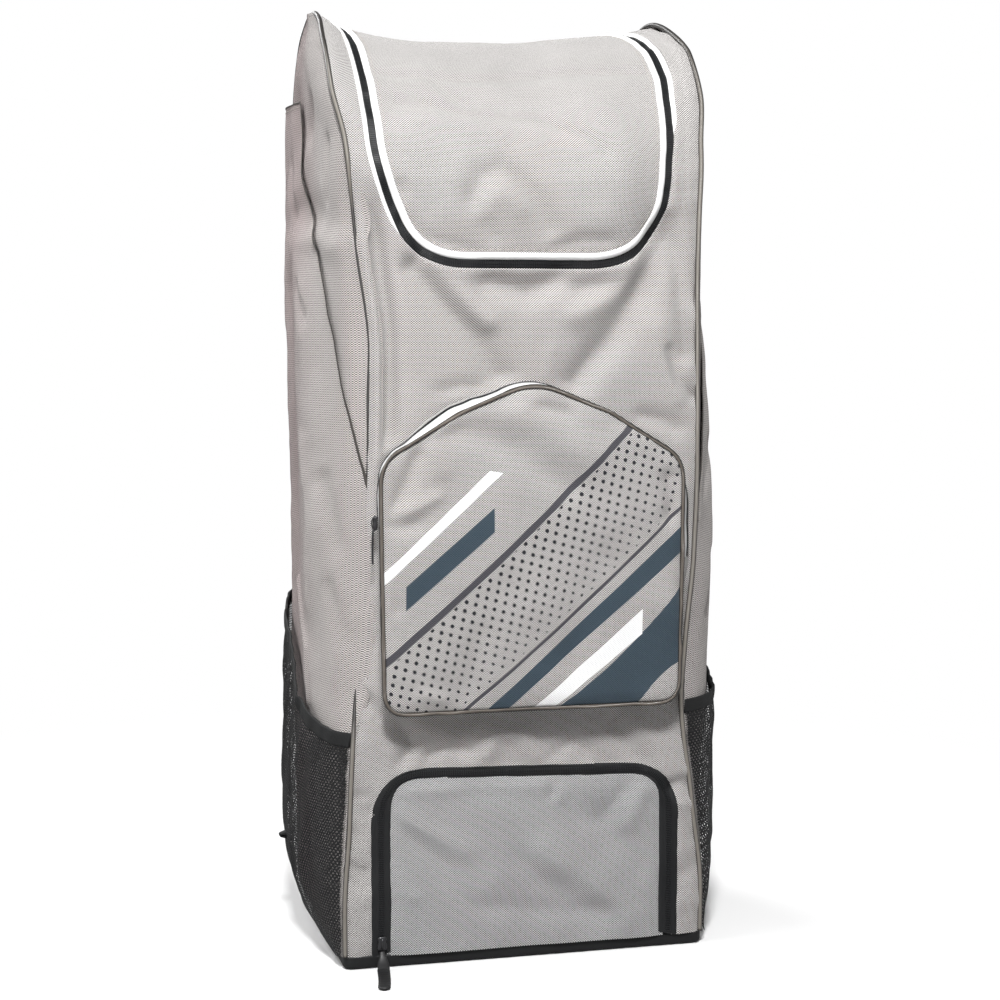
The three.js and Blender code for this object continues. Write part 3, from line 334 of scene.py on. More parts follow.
def sideways(path, closed=False):
    if closed:
        run = np.roll(path, -1, 0) - np.roll(path, 1, 0)
    else:
        run = np.gradient(path, axis=0)
    run = run / np.maximum(np.hypot(run[:, 0], run[:, 1]), 1e-9)[:, None]
    return np.stack([-run[:, 1], run[:, 0]], 1)


def offset(path, distance, closed=False):
    return path + sideways(path, closed) * distance


def nearest(path, a, b, closed=False):
    """Distance from points to a path, and how far along it the nearest point lies."""
    ends = with_end(path, closed)
    best = np.full(np.shape(a), 1e9)
    place = np.zeros(np.shape(a))
    total = 0.0
    for (a0, b0), (a1, b1) in zip(ends[:-1], ends[1:]):
        run = (a1 - a0, b1 - b0)
        size = np.hypot(*run)
        if size < 1e-9:
            continue
        share = np.clip(((a - a0) * run[0] + (b - b0) * run[1]) / size**2, 0, 1)
        away = np.hypot(a - a0 - share * run[0], b - b0 - share * run[1])
        closer = away < best
        best = np.where(closer, away, best)
        place = np.where(closer, total + share * size, place)
        total += size
    return best, place


def inside(path, a, b):
    """Which points lie inside a closed path."""
    within = np.zeros(np.shape(a), bool)
    for (a0, b0), (a1, b1) in zip(path, np.roll(path, -1, 0)):
        crosses = (b0 > b) != (b1 > b)
        within ^= crosses & (a < (a1 - a0) * (b - b0) / (b1 - b0 + 1e-12) + a0)
    return within


def rounded(corners, steps=8):
    """Closed outline from corner points (x, y, round)."""
    points = []
    count = len(corners)
    for i in range(count):
        here = np.array(corners[i][:2], float)
        before = np.array(corners[i - 1][:2], float) - here
        after = np.array(corners[(i + 1) % count][:2], float) - here
        sizes = np.linalg.norm(before), np.linalg.norm(after)
        half = np.arccos(np.clip(before @ after / (sizes[0] * sizes[1]), -1, 1)) / 2
        reach = min(corners[i][2] / np.tan(half), sizes[0] * 0.45, sizes[1] * 0.45)
        start, end = here + before / sizes[0] * reach, here + after / sizes[1] * reach
        for t in np.linspace(0, 1, steps + 1):
            points.append((1 - t) ** 2 * start + 2 * t * (1 - t) * here + t * t * end)
    return np.array(points)


def bend(start, middle, end, count):
    t = np.linspace(0, 1, count)[:, None]
    return (1 - t) ** 2 * np.array(start) + 2 * t * (1 - t) * np.array(middle) + t * t * np.array(end)


# Middle line of the lid's zip
def lid_path():
    low = FRONT_LENGTH - LID_DROP
    half = LID_WIDTH / 2
    high = low + LID_CORNER_HEIGHT
    legs = np.linspace(LID_END, high, 60)[:-1]
    share = np.minimum(1, (legs - high) / (APEX - high))
    left = np.stack([-half - LID_FLARE_LEFT * share, legs], 1)
    right = np.stack([half + LID_FLARE_RIGHT * share**2, legs], 1)[::-1]
    turns = []
    for side in (LEFT, RIGHT):
        turns.append(bend((side * half, high), (side * (half - LID_CORNER_LEAN), low),
                          (side * (half - LID_CORNER_WIDTH), low), 24))
    path = np.vstack([left, turns[0], turns[1][::-1], right])
    along = path[:, 1]
    pull = 4 * smooth((along - 790) / 40) * (1 - smooth((along - 880) / 60)) - 5 * hill(along, 733, 38)
    path[:, 0] += pull * smooth((path[:, 0] - 40) / 80)
    path[:, 0] += 5 * hill(along, 688, 36) * smooth((-path[:, 0] - 40) / 60)
    return resample(path, 3.2)


def shoe_outline(side, top):
    half = SHOE_WIDTH / 2 - side
    high = SHOE_TOP - top
    round_ = SHOE_CORNER - min(side * 1.4, SHOE_CORNER / 2)
    corners = [
        (half, SHOE_FOOT, 1), (half, high - SHOE_TILT, round_),
        (-half, high + SHOE_TILT, round_), (-half, SHOE_FOOT, 1),
    ]
    return rounded(corners, 16)


def pocket_outline():
    half = POCKET_WIDTH / 2
    shoulder = POCKET_BOTTOM + POCKET_HEIGHT - POCKET_SHOULDER
    slope = shoulder + POCKET_SHOULDER * 0.65
    apex = POCKET_BOTTOM + POCKET_HEIGHT + POCKET_SHOULDER / 12
    corners = [
        (-half + POCKET_TAPER, POCKET_BOTTOM, POCKET_CORNER),
        (half - POCKET_TAPER, POCKET_BOTTOM, POCKET_CORNER),
        (half, shoulder, POCKET_SHOULDER_ROUND),
        (half / 2, slope, POCKET_APEX_ROUND),
        (0, apex, POCKET_APEX_ROUND),
        (-half / 2, slope, POCKET_APEX_ROUND),
        (-half, shoulder, POCKET_SHOULDER_ROUND),
    ]
    return resample(rounded(corners, 14), 3.0, True)


LID_PATH = lid_path()
POCKET_PATH = pocket_outline()
LID_LOW = LID_PATH[:, 1].min()


def outline_at(along):
    """Place and outward way of the outline at a distance from its front foot, and the share of the arch."""
    angle = np.pi * np.clip((along - FRONT_LENGTH) / ARCH_LENGTH, 0, 1)
    y = -HALF_DEPTH * np.cos(angle)
    z = FRONT_LENGTH + ARCH_HEIGHT * np.sin(angle)
    z = np.where(along < FRONT_LENGTH, along, np.where(along > GIRTH - FRONT_LENGTH, GIRTH - along, z))
    ny, nz = -np.cos(angle) * ARCH_HEIGHT, np.sin(angle) * HALF_DEPTH
    size = np.hypot(ny, nz)
    return y, z, ny / size, nz / size, np.sin(angle)


def seam_pull(side, along):
    share = outline_at(along)[1] / HEIGHT
    last = EDGE_PULL[-1][1 if side == LEFT else 2]
    return np.where(along <= APEX, column(EDGE_PULL, share, side), last * share * share)


def seam_x(side, along):
    """Where a side seam lies across the bag."""
    return side * HALF_WIDTH * (1 - seam_pull(side, along))


def tuck(side, along):
    """How deep the seam's piping is pulled into the cloth, from 0 to 1."""
    if side == LEFT:
        return smooth((along - 200) / 60) * (1 - smooth((along - 690) / 50))
    return 0.25 * smooth((along - 480) / 60) * (1 - smooth((along - 620) / 60))


def corner_drop(side, along, away):
    """How far the cloth rounds off towards a seam."""
    folded = tuck(side, along)
    depth = 2.2 + 6.5 * folded
    width = 13 + 10 * folded
    return depth * (1 - smooth(away / width)) + 5.0 * folded * hill(away, 0, 3.0)


def pucker(away, place, pitch, depth, reach, seed):
    """Small gathers that die out away from a seam."""
    gather = noise(place, away * 0.25, pitch, seed) + 0.6 * noise(place, away * 0.3, pitch * 0.45, seed + 1)
    return depth * gather * np.exp(-away / reach)


def body_rise(x, along):
    """All relief of the front, top and back cloth."""
    front = along < LID_END
    rise = 2.0 * noise(x, along * 0.8, 75, 11) + 0.9 * noise(x, along, 27, 12)
    rise += np.where(front, creases(FRONT_CREASES, x, along, 21, FRONT_FOLDS), 0)
    rise += creases(BACK_CREASES, x, along, 23, BACK_FOLDS)
    for side in (LEFT, RIGHT):
        away = np.abs(seam_x(side, along) - x)
        rise += pucker(away, along, 13, 0.7, 9, 31 + side) + pucker(away, along, 31, 1.5, 24, 35 + side)
        rise -= corner_drop(side, along, away)
    away = np.abs(seam_x(LEFT, along) - x)
    held = smooth((along - 430) / 40) * (1 - smooth((along - 650) / 60))
    rise += held * (6.5 * hill(away, 9, 5) - 13.0 * hill(away, 21, 8))
    away, place = nearest(LID_PATH[::3], x, along)
    lid = inside(LID_PATH, x, along)
    rise += np.where(front, pucker(away, place, 16, 0.7, 10, 41) + pucker(away, place, 34, 1.3, 26, 45), 0)
    rise -= np.where(front, 1.6 * hill(away, 0, 6.5), 0)
    rise += np.where(lid & front, 5.5 * smooth(away / 50) * smooth((760 - along) / 60 + 0.6), 0)
    flat, place = nearest(POCKET_PATH[::3], x, along, True)
    held = inside(POCKET_PATH, x, along)
    rise = np.where(held, rise * 0.35, rise * (0.35 + 0.65 * smooth(flat / 16)))
    rise += np.where(held, 0, pucker(flat, place, 15, 0.7, 10, 51) + pucker(flat, place, 32, 1.4, 24, 55))
    shoe = shoe_outline(0, 0)
    door, place = nearest(shoe[::2], x, along, True)
    shrunk = pucker(door, place, 14, 0.8, 10, 61) + pucker(door, place, 27, 1.8, 24, 65)
    rise += np.where(inside(shoe, x, along), 0, shrunk)
    return rise


class Relief:
    """Relief worked out once on a fine grid and read back between its points."""

    def __init__(self, function, a_range, b_range, step):
        self.start = (a_range[0], b_range[0])
        self.step = step
        a = np.arange(a_range[0], a_range[1] + step, step)
        b = np.arange(b_range[0], b_range[1] + step, step)
        self.grid = function(*np.meshgrid(a, b, indexing="ij"))

    def __call__(self, a, b):
        u = np.clip((a - self.start[0]) / self.step, 0, self.grid.shape[0] - 1.001)
        v = np.clip((b - self.start[1]) / self.step, 0, self.grid.shape[1] - 1.001)
        i, j = u.astype(int), v.astype(int)
        s, t = u - i, v - j
        low = self.grid[i, j] * (1 - s) + self.grid[i + 1, j] * s
        high = self.grid[i, j + 1] * (1 - s) + self.grid[i + 1, j + 1] * s
        return low * (1 - t) + high * t


BODY_RELIEF = Relief(body_rise, (-190, 190), (0, GIRTH), 1.6)


def spread(*values):
    """Numbers and arrays brought to one shape."""
    return np.broadcast_arrays(*[np.asarray(value, float) for value in values])


def on_body(x, along, out):
    """A point across the bag, along its outline and out of the cloth."""
    x, along, out = spread(x, along, out)
    y, z, ny, nz, top = outline_at(along)
    sag = TOP_SAG * top * column(SAG_ACROSS, x / HALF_WIDTH)
    reach = out + BODY_RELIEF(x, along) - sag
    return np.stack([x, y + ny * reach, z + nz * reach], -1)


def crown(depth):
    """How strongly a side bulges from its front seam at -1 to its back seam at 1."""
    return (1 - np.abs(depth) ** 3) * (1 - 0.3 * depth)


def side_rise(side):
    def rise(y, along):
        relief = 1.3 * noise(y, along * 0.7, 60, 71 + side) + 0.5 * noise(y, along, 22, 74 + side)
        relief += creases(SIDE_CREASES[side], y, along, 77, SIDE_FOLDS)
        away = np.maximum(y + HALF_DEPTH, 0)
        back = np.maximum(HALF_DEPTH - y, 0)
        relief += pucker(away, along, 13, 0.8, 9, 81 + side) + pucker(back, along, 13, 0.8, 9, 84 + side)
        return relief - corner_drop(side, along, away) - 2.2 * (1 - smooth(back / 13))
    return rise


SIDE_RELIEF = {side: Relief(side_rise(side), (-165, 165), (0, APEX), 2.0) for side in (LEFT, RIGHT)}


def on_side(side, depth, along, out):
    """A point of a side: depth from -1 at the front seam to 1 at the back, distance up, and out."""
    depth, along, out = spread(depth, along, out)
    angle = (np.pi / 2) * np.clip((along - FRONT_LENGTH) / (ARCH_LENGTH / 2), 0, 1)
    lift = np.sin(angle)
    y = depth * (HALF_DEPTH - SEAM_INSET) * np.cos(angle)
    z = np.where(along <= FRONT_LENGTH, along, FRONT_LENGTH + (ARCH_HEIGHT - SEAM_INSET) * lift)
    near = np.exp(-(1 + depth) * 5) * (1 - lift) + lift * (1 - depth) / 2
    far = np.exp(-(1 - depth) * 5) * (1 - lift) + lift * (1 + depth) / 2
    pull = seam_pull(side, along) * near + seam_pull(side, GIRTH - along) * far
    bulge = column(SIDE_BULGE, z / HEIGHT, side) * crown(depth)
    relief = SIDE_RELIEF[side](depth * HALF_DEPTH, along)
    x = HALF_WIDTH * (1 - pull + bulge) + relief + out
    return np.stack([side * x, y, z], -1)


def eased(path, rounds=3):
    """A path with its corners cut off again and again."""
    for _ in range(rounds):
        inner = np.stack([0.75 * path[:-1] + 0.25 * path[1:], 0.25 * path[:-1] + 0.75 * path[1:]], 1)
        path = np.vstack([path[:1], inner.reshape(-1, 2), path[-1:]])
    return path


SEAM_LINE = eased(np.array([(depth * HALF_DEPTH, height * HEIGHT) for depth, height in SLEEVE_SEAM]))


def sleeve_relief(side, y, along):
    relief = creases(SLEEVE_CREASES[side], y, along, 91, SLEEVE_FOLDS)
    relief += 1.2 * noise(y, along * 0.6, 46, 92 + side)
    relief += 0.5 * noise(y, along, 18, 95 + side)
    away, place = nearest(SEAM_LINE, y, along)
    relief = relief * smooth(away / 30) * smooth((along - 10) / 40)
    return relief + pucker(away, place, 13, 0.4, 8, 98)


SEAM_AWAY = Relief(lambda a, b: nearest(SEAM_LINE, a, b)[0], (-160, 160), (0, 900), 3.0)


def sleeve_out(side, depth, along):
    away = SEAM_AWAY(depth * HALF_DEPTH, along)
    lift = column(SLEEVE_LIFT, along / HEIGHT, side) * crown(depth)
    lift = lift * (0.35 + 0.65 * smooth((along - 90) / 140))
    relief = sleeve_relief(side, depth * HALF_DEPTH, along) * np.clip(1 - depth**6, 0, 1)
    return 0.6 + GAP + CLOTH + (SLEEVE_BULGE * lift) * smooth(away / SLEEVE_RISE) + np.maximum(relief, -3.5)


def mesh_mouth(side, depth):
    """Height of a net pocket's mouth."""
    return MESH_HEIGHT * column(MESH_MOUTH, depth, side)


def net_out(side, depth, along):
    """Outer face of a net pocket over the side cloth, with the gathers of its slack net."""
    share = np.clip((along - PANEL_FOOT) / (mesh_mouth(side, depth) - PANEL_FOOT), 0, 1)
    lift = column(MESH_LIFT, share, side) * crown(depth)
    folds = 2.6 * noise(depth * HALF_DEPTH + 0.25 * along, along * 0.16, 17, 101 + side)
    folds += 1.3 * noise(depth * HALF_DEPTH, along * 0.3, 9, 104 + side)
    folds *= np.clip(1 - np.abs(depth) ** 5, 0, 1) * smooth(share * 6)
    folds *= 0.55 + 0.45 * smooth((1 - share) * 4)
    slack = SLEEVE_BULGE * column(SLEEVE_LIFT, along / HEIGHT, side) * crown(depth)
    slack = slack * 0.65 * (1 - smooth((along - 90) / 140))
    return sleeve_out(side, depth, along) + 1.0 + GAP + np.maximum(MESH_BULGE * lift + slack + folds, 0.4)


# Meshes
def new_object(name, points, faces, uv=None, smooth_faces=True):
    """An object from points in millimetres and faces of three or four corners."""
    points = np.asarray(points, float).reshape(-1, 3) / 1000
    faces = [np.asarray(part, int) for part in (faces if isinstance(faces, list) else [faces]) if len(part)]
    mesh = bpy.data.meshes.new(name)
    loops = np.concatenate([part.ravel() for part in faces])
    sizes = np.concatenate([np.full(len(part), part.shape[1]) for part in faces])
    mesh.vertices.add(len(points))
    mesh.vertices.foreach_set("co", points.ravel())
    mesh.loops.add(len(loops))
    mesh.loops.foreach_set("vertex_index", loops)
    mesh.polygons.add(len(sizes))
    mesh.polygons.foreach_set("loop_start", np.concatenate([[0], np.cumsum(sizes)[:-1]]))
    mesh.polygons.foreach_set("loop_total", sizes)
    if uv is not None:
        layer = mesh.uv_layers.new(name="cloth")
        layer.data.foreach_set("uv", np.asarray(uv, float).reshape(-1, 2)[loops].ravel())
    mesh.update(calc_edges=True)
    mesh.validate()
    mesh.polygons.foreach_set("use_smooth", np.full(len(mesh.polygons), smooth_faces))
    obj = bpy.data.objects.new(name, mesh)
    scene.collection.objects.link(obj)
    return obj


def grid_faces(rows, columns, wrap_rows=False, wrap_columns=False, flip=False):
    r = np.arange(rows if wrap_rows else rows - 1)
    c = np.arange(columns if wrap_columns else columns - 1)
    r, c = [part.ravel() for part in np.meshgrid(r, c, indexing="ij")]
    down, right = (r + 1) % rows, (c + 1) % columns
    quads = np.stack([r * columns + c, r * columns + right, down * columns + right, down * columns + c], 1)
    return quads[:, ::-1] if flip else quads


def add_cloth(name, grid, uv, material, slot, size=None, flip=False, keep=None):
    """A sheet from a grid of points, of which only some faces may be kept; size is what it was cut to."""
    faces = grid_faces(*grid.shape[:2], flip=flip)
    if keep is not None:
        faces = faces[keep.ravel()]
    sheet = new_object(name, grid, faces, uv)
    finish_piece(sheet, material, slot, name)
    if size:
        declare(sheet, *size)


def ring_uv(along, across):
    """Millimetres along and across a band, from one row of each."""
    return np.stack(np.broadcast_arrays(along[:, None], across), -1)


def beside(path, aside, closed=False):
    """Points at distances aside from each point of a path."""
    across = sideways(path, closed)
    return path[:, None, 0] + across[:, None, 0] * aside, path[:, None, 1] + across[:, None, 1] * aside


def ribbon(path, section, place, closed=False):
    """Rings along a path laid on a surface; the section's corners are (aside, out)."""
    section = np.broadcast_to(section, (len(path),) + np.shape(section)[-2:])
    return place(*beside(path, section[..., 0], closed), section[..., 1])


def add_tube(name, rings, material, slot, closed=False, flip=False):
    """A cord or tape from its rings, with ends where it isn't closed."""
    count, corners = rings.shape[:2]
    faces = [grid_faces(count, corners, closed, True, flip)]
    steps = np.linalg.norm(np.diff(rings.mean(1), axis=0), axis=1)
    round_ = np.linalg.norm(rings - np.roll(rings, 1, 1), axis=2).mean(0)
    points = rings.reshape(-1, 3)
    coords = ring_uv(np.concatenate([[0], np.cumsum(steps)]), np.cumsum(round_)).reshape(-1, 2)
    for end, turn in () if closed else ((0, not flip), (count - 1, flip)):
        ring = end * corners + np.arange(corners)
        fan = np.stack([ring, np.roll(ring, -1), np.full(corners, len(points))], 1)
        faces.append(fan[:, ::-1] if turn else fan)
        points = np.vstack([points, rings[end].mean(0)])
        coords = np.vstack([coords, coords[ring[0]]])
    finish_piece(new_object(name, points, faces, coords), material, slot, name)


def circle(radius, out, sides, flatten=1.0):
    angle = 2 * np.pi * np.arange(sides) / sides
    return np.stack([radius * np.cos(angle), out + flatten * radius * np.sin(angle)], 1)


def tape(half, out, thick, crown_, columns=7):
    """Section of a flat tape whose middle may stand higher than its edges."""
    across = np.linspace(half, -half, columns)
    top = np.stack([across, out + thick + crown_ * (1 - (across / half) ** 2)], 1)
    return np.vstack([top, [(-half, out), (half, out)]])


STITCH = np.array([
    (-1, 0, 0.1), (-0.6, -0.5, 0.35), (-0.6, 0.5, 0.35), (-0.6, 0, 0.8),
    (0.6, -0.5, 0.35), (0.6, 0.5, 0.35), (0.6, 0, 0.8), (1, 0, 0.1),
])
STITCH_FACES = np.array([
    (0, 1, 3), (0, 3, 2), (1, 4, 6), (1, 6, 3), (3, 6, 5), (3, 5, 2), (4, 7, 6), (6, 7, 5),
])
STITCH_SIZE = (1.25, 0.55, 0.5)
TOOTH_FOOT = ((-0.5, -1), (0.5, -1), (0.5, 1), (-0.5, 1))
TOOTH = np.array([(x, y, z) for z in (0, 1) for x, y in TOOTH_FOOT], float)
TOOTH[4:, 0] *= 0.7
TOOTH_FACES = np.array([(4, 5, 6, 7), (0, 1, 5, 4), (1, 2, 6, 5), (2, 3, 7, 6), (3, 0, 4, 7)])


def scatter(name, template, faces, spots, runs, ups, size):
    """Copies of a small shape, each turned along its run and standing on its up."""
    runs = runs / np.maximum(np.linalg.norm(runs, axis=1, keepdims=True), 1e-9)
    asides = np.cross(ups, runs)
    asides = asides / np.maximum(np.linalg.norm(asides, axis=1, keepdims=True), 1e-9)
    axes = runs, asides, np.cross(runs, asides)
    shape = template * np.array(size)
    points = spots[:, None] + sum(shape[None, :, k, None] * axis[:, None] for k, axis in enumerate(axes))
    index = faces[None] + (np.arange(len(spots)) * len(template))[:, None, None]
    return new_object(name, points, index.reshape(-1, faces.shape[1]), smooth_faces=False)


def along_path(path, place, aside, out, pitch):
    """Places, directions and uprights every pitch along a line beside a path."""
    line = resample(offset(path, aside), pitch)
    ahead = line + np.gradient(line, axis=0) * 0.5
    spots = place(line[:, 0], line[:, 1], out)
    runs = place(ahead[:, 0], ahead[:, 1], out) - spots
    ups = place(line[:, 0], line[:, 1], out + 1.0) - spots
    return spots, runs, ups


def add_stitches(name, path, place, aside, out, slot):
    """A row of stitches beside a path on a cloth."""
    where = along_path(path, place, aside, out, STITCH_PITCH)
    finish_piece(scatter(name, STITCH, STITCH_FACES, *where, STITCH_SIZE), THREAD, slot)


def add_coil(name, path, aside, out, height):
    """The two rows of teeth of a zip on the body."""
    for row in (LEFT, RIGHT):
        where = along_path(path, on_body, row * aside, out, TOOTH_PITCH)
        coil = scatter(f"{name}_{NAMES[row]}", TOOTH, TOOTH_FACES, *where, (1.1, 1.1, height))
        finish_piece(coil, ZIP_TEETH, "zip_tape")


def finish_piece(obj, material, slot, *nodes):
    """Give a piece its material, name it after the node that it takes the place of, and hide that node; the
    slot is not used.
    """
    obj.data.materials.append(material)
    if nodes:
        obj.name = nodes[0] + "_dressed"
    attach(obj, "root")
    if nodes:
        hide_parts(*nodes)


# Materials
def rgb(code):
    """Linear colour from a six-digit code."""
    parts = np.array([int(code[i:i + 2], 16) / 255 for i in (0, 2, 4)])
    return tuple(np.where(parts <= 0.04045, parts / 12.92, ((parts + 0.055) / 1.055) ** 2.4)) + (1.0,)


class Field:
    """A number that varies over a surface, worked out by Math nodes."""

    def __init__(self, tree, socket):
        self.tree = tree
        self.socket = socket

    def apply(self, kind, *others, clamp=False):
        node = self.tree.nodes.new("ShaderNodeMath")
        node.operation = kind
        node.use_clamp = clamp
        for slot, value in zip(node.inputs, (self, *others)):
            if isinstance(value, Field):
                self.tree.links.new(value.socket, slot)
            else:
                slot.default_value = value
        return Field(self.tree, node.outputs[0])

    def __add__(self, other):
        return self.apply("ADD", other)

    def __sub__(self, other):
        return self.apply("SUBTRACT", other)

    def __mul__(self, other):
        return self.apply("MULTIPLY", other)

    def sine(self):
        return self.apply("SINE")

    def size(self):
        return self.apply("ABSOLUTE")

    def least(self, other):
        return self.apply("MINIMUM", other)

    def most(self, other):
        return self.apply("MAXIMUM", other)

    def above(self, other, soft=0.35):
        """1 where this is above the other, 0 below, with a short soft edge."""
        return (self - other).apply("MULTIPLY_ADD", 1 / soft, 0.5, clamp=True)

    def cell(self, pitch):
        """Distance from the middle of the nearest cell of a row of cells."""
        return (self * (1 / pitch)).apply("FRACT") * pitch - pitch / 2


def new_material(name, colour, rough, specular=0.4, metallic=0.0, sheen=0.0, coat=0.0):
    material = bpy.data.materials.new(name)
    material.use_nodes = True
    tree = material.node_tree
    shader = next(node for node in tree.nodes if node.type == "BSDF_PRINCIPLED")
    shader.inputs["Base Color"].default_value = rgb(colour)
    shader.inputs["Roughness"].default_value = rough
    shader.inputs["Specular IOR Level"].default_value = specular
    shader.inputs["Metallic"].default_value = metallic
    shader.inputs["Sheen Weight"].default_value = sheen
    shader.inputs["Coat Weight"].default_value = coat
    return material, tree, shader


def cloth_uv(tree):
    """Millimetres across and along the cloth."""
    source = tree.nodes.new("ShaderNodeUVMap")
    source.uv_map = "cloth"
    split = tree.nodes.new("ShaderNodeSeparateXYZ")
    tree.links.new(source.outputs[0], split.inputs[0])
    return Field(tree, split.outputs[0]), Field(tree, split.outputs[1])


def mix(tree, factor, first, second):
    """Colour between two colours, each a fixed one or another mix."""
    node = tree.nodes.new("ShaderNodeMix")
    node.data_type = "RGBA"
    tree.links.new(factor.socket, node.inputs[0])
    for slot, value in ((node.inputs[6], first), (node.inputs[7], second)):
        if isinstance(value, str):
            slot.default_value = rgb(value)
        else:
            tree.links.new(value, slot)
    return node.outputs[2]


def patches(tree, size, detail=2.0):
    """Cloudy pattern about a size in metres."""
    place = tree.nodes.new("ShaderNodeTexCoord")
    node = tree.nodes.new("ShaderNodeTexNoise")
    node.inputs["Scale"].default_value = 1 / size
    node.inputs["Detail"].default_value = detail
    tree.links.new(place.outputs["Object"], node.inputs["Vector"])
    return Field(tree, node.outputs[0])


def bump(tree, shader, height, distance):
    node = tree.nodes.new("ShaderNodeBump")
    node.inputs["Distance"].default_value = distance
    tree.links.new(height.socket, node.inputs["Height"])
    tree.links.new(node.outputs[0], shader.inputs["Normal"])


def woven(name, light, dark, paint=None, ridges=0.2):
    """Coarse plain weave of light yarns over dark gaps, the dark of the gaps being painted shade between the
    yarns, with an optional print or painted reflection tint on it.
    """
    material, tree, shader = new_material(name, light, 0.82, 0.25, sheen=0.15)
    u, v = cloth_uv(tree)
    rows = (v * (np.pi / WEAVE_ALONG)).sine()
    knots = (u * (np.pi / WEAVE_ACROSS)).sine() * rows
    yarn_and_gap_shade = (knots * 1.1 + rows * ridges).apply("ADD", 0.56, clamp=True)
    cloudy = patches(tree, 0.03, 4.0).apply("MULTIPLY_ADD", 0.9, -0.45)
    speck = patches(tree, 0.0022, 1.0).apply("MULTIPLY_ADD", 1.1, -0.55)
    share = (yarn_and_gap_shade + cloudy * 0.1 + speck * 0.12).apply("ADD", 0.0, clamp=True)
    # Painted shade: the dark colour fills the gaps between the yarns.
    colour = mix(tree, share, dark, light)
    if paint:
        colour = paint(tree, u, v, share, colour)
    tree.links.new(colour, shader.inputs["Base Color"])
    bump(tree, shader, knots + speck * 0.5, 0.0003)
    return material


def curve(u, line):
    """Height of a line of the print: its bend, slope and height at the middle."""
    bend_, slope, high = line
    return u * u * bend_ + u * slope + high


def strip_of(v, u, line, half):
    """1 inside a slanted line of the print with half its width."""
    away = (v - curve(u, line)).size() * (1 / np.hypot(1, line[1]))
    return (away * -1.0).above(-half)


def band_of(v, u, upper, lower):
    """1 between two lines of the print."""
    below, above = (curve(u, upper) - v) * 0.75, (v - curve(u, lower)) * 0.75
    return below.above(0.0).least(above.above(0.0))


def slanted_print(tree, u, v, share, colour):
    """Slanting bands, lines and shrinking dots of the pocket."""
    line = (0.00037, 0.9379, 407.32)
    thin = (0.000301, 0.859, 294.84)
    high = band_of(v, u, (0, 0.9387, 495.99), (0, 0.9157, 482.03)).least((u * -0.17 + 448.9).above(v))
    low = band_of(v, u, (0.000015, 0.8615, 240.73), (0, 0.7861, 225.36)).least((u * -1.0).above(-100.7))
    short = band_of(v, u, (0, 0.8641, 456.43), (0, 0.8615, 434.82))
    short = short.least(u.above(-118.6)).least((u * -1.0).above(38.8))
    wide = band_of(v, u, (-0.000109, 0.8986, 279.85), (-0.000227, 0.8716, 262.08))
    corner = band_of(v, u, (0.002217, 0.5653, 226.17), (-0.012785, 3.9318, -22.34)).least(u.above(20))
    across = u * 0.1129 - v * 0.0214
    down = u * -0.0343 - v * 0.12
    apart = (across.cell(1.0) * 8.74).apply("POWER", 2.0) + (down.cell(1.0) * 8.04).apply("POWER", 2.0)
    top, foot = curve(u, line), curve(u, thin)
    fade = (v - foot).apply("DIVIDE", top - foot)
    dots = (fade * 0.62 + 1.3).above(apart.apply("SQRT"), 0.3)
    dots = dots.least((v - foot).above(6.0)).least((top - v).above(5.5))
    strips = strip_of(v, u, line, 2.9).most(strip_of(v, u, thin, 1.5))
    colour = mix(tree, dots, colour, "24252a")
    # Each print colour comes as a darker and a lighter copy mixed by the weave: the print's own colours with
    # painted shade in the gaps between the yarns.
    colour = mix(tree, strips, colour, mix(tree, share, "343338", "56555b"))
    colour = mix(tree, short.most(wide).most(corner), colour, mix(tree, share, "29343f", "43545f"))
    return mix(tree, high.most(low), colour, mix(tree, share, "ececec", "ffffff"))


def pink_reflection_tint(tree, u, v, share, colour):
    """Painted reflection: a pinkish tint of reflected surroundings, stronger towards the back of the sides.
    """
    return mix(tree, u.above(-45.0, 90.0), colour, mix(tree, share, "3d3536", "b9a9a7"))


def corded(name, middle, edge, rough, shaded_span=None):
    """Covered cord with painted shade: darker where its surface turns away from view into its seam, and along
    a span where it lies in shadow under a fold.
    """
    material, tree, shader = new_material(name, middle, rough, 0.6)
    weight = tree.nodes.new("ShaderNodeLayerWeight")
    weight.inputs[0].default_value = 0.5
    # Painted shade: the edge colour is laid where the cord faces away from view, and along the shaded span.
    painted_edge_shade = Field(tree, weight.outputs["Facing"]).above(0.3, 0.35)
    u = cloth_uv(tree)[0]
    if shaded_span:
        painted_edge_shade = painted_edge_shade.most(u.above(shaded_span[0], 30).least((u * -1.0).above(-shaded_span[1], 30)))
    tree.links.new(mix(tree, painted_edge_shade, middle, edge), shader.inputs["Base Color"])
    bump(tree, shader, (u * (2 * np.pi / 1.3)).sine() + patches(tree, 0.0015), 0.00008)
    return material


def ribbed(name, colour, rough, pitch, distance, specular=0.4, coat=0.0):
    """Tape or covered cord with fine ribs across it."""
    material, tree, shader = new_material(name, colour, rough, specular, coat=coat)
    u, v = cloth_uv(tree)
    ribs = (u * (2 * np.pi / pitch)).sine() * 0.5 + (v * (2 * np.pi / (pitch * 0.7))).sine() * 0.3
    bump(tree, shader, ribs + patches(tree, 0.0015) * 0.6, distance)
    return material


def plain(name, colour, rough, specular, metallic=0.0, grain=0.0012, distance=0.00006):
    """Smooth or finely grained stuff of one colour."""
    material, tree, shader = new_material(name, colour, rough, specular, metallic)
    bump(tree, shader, patches(tree, grain, 3.0), distance)
    return material
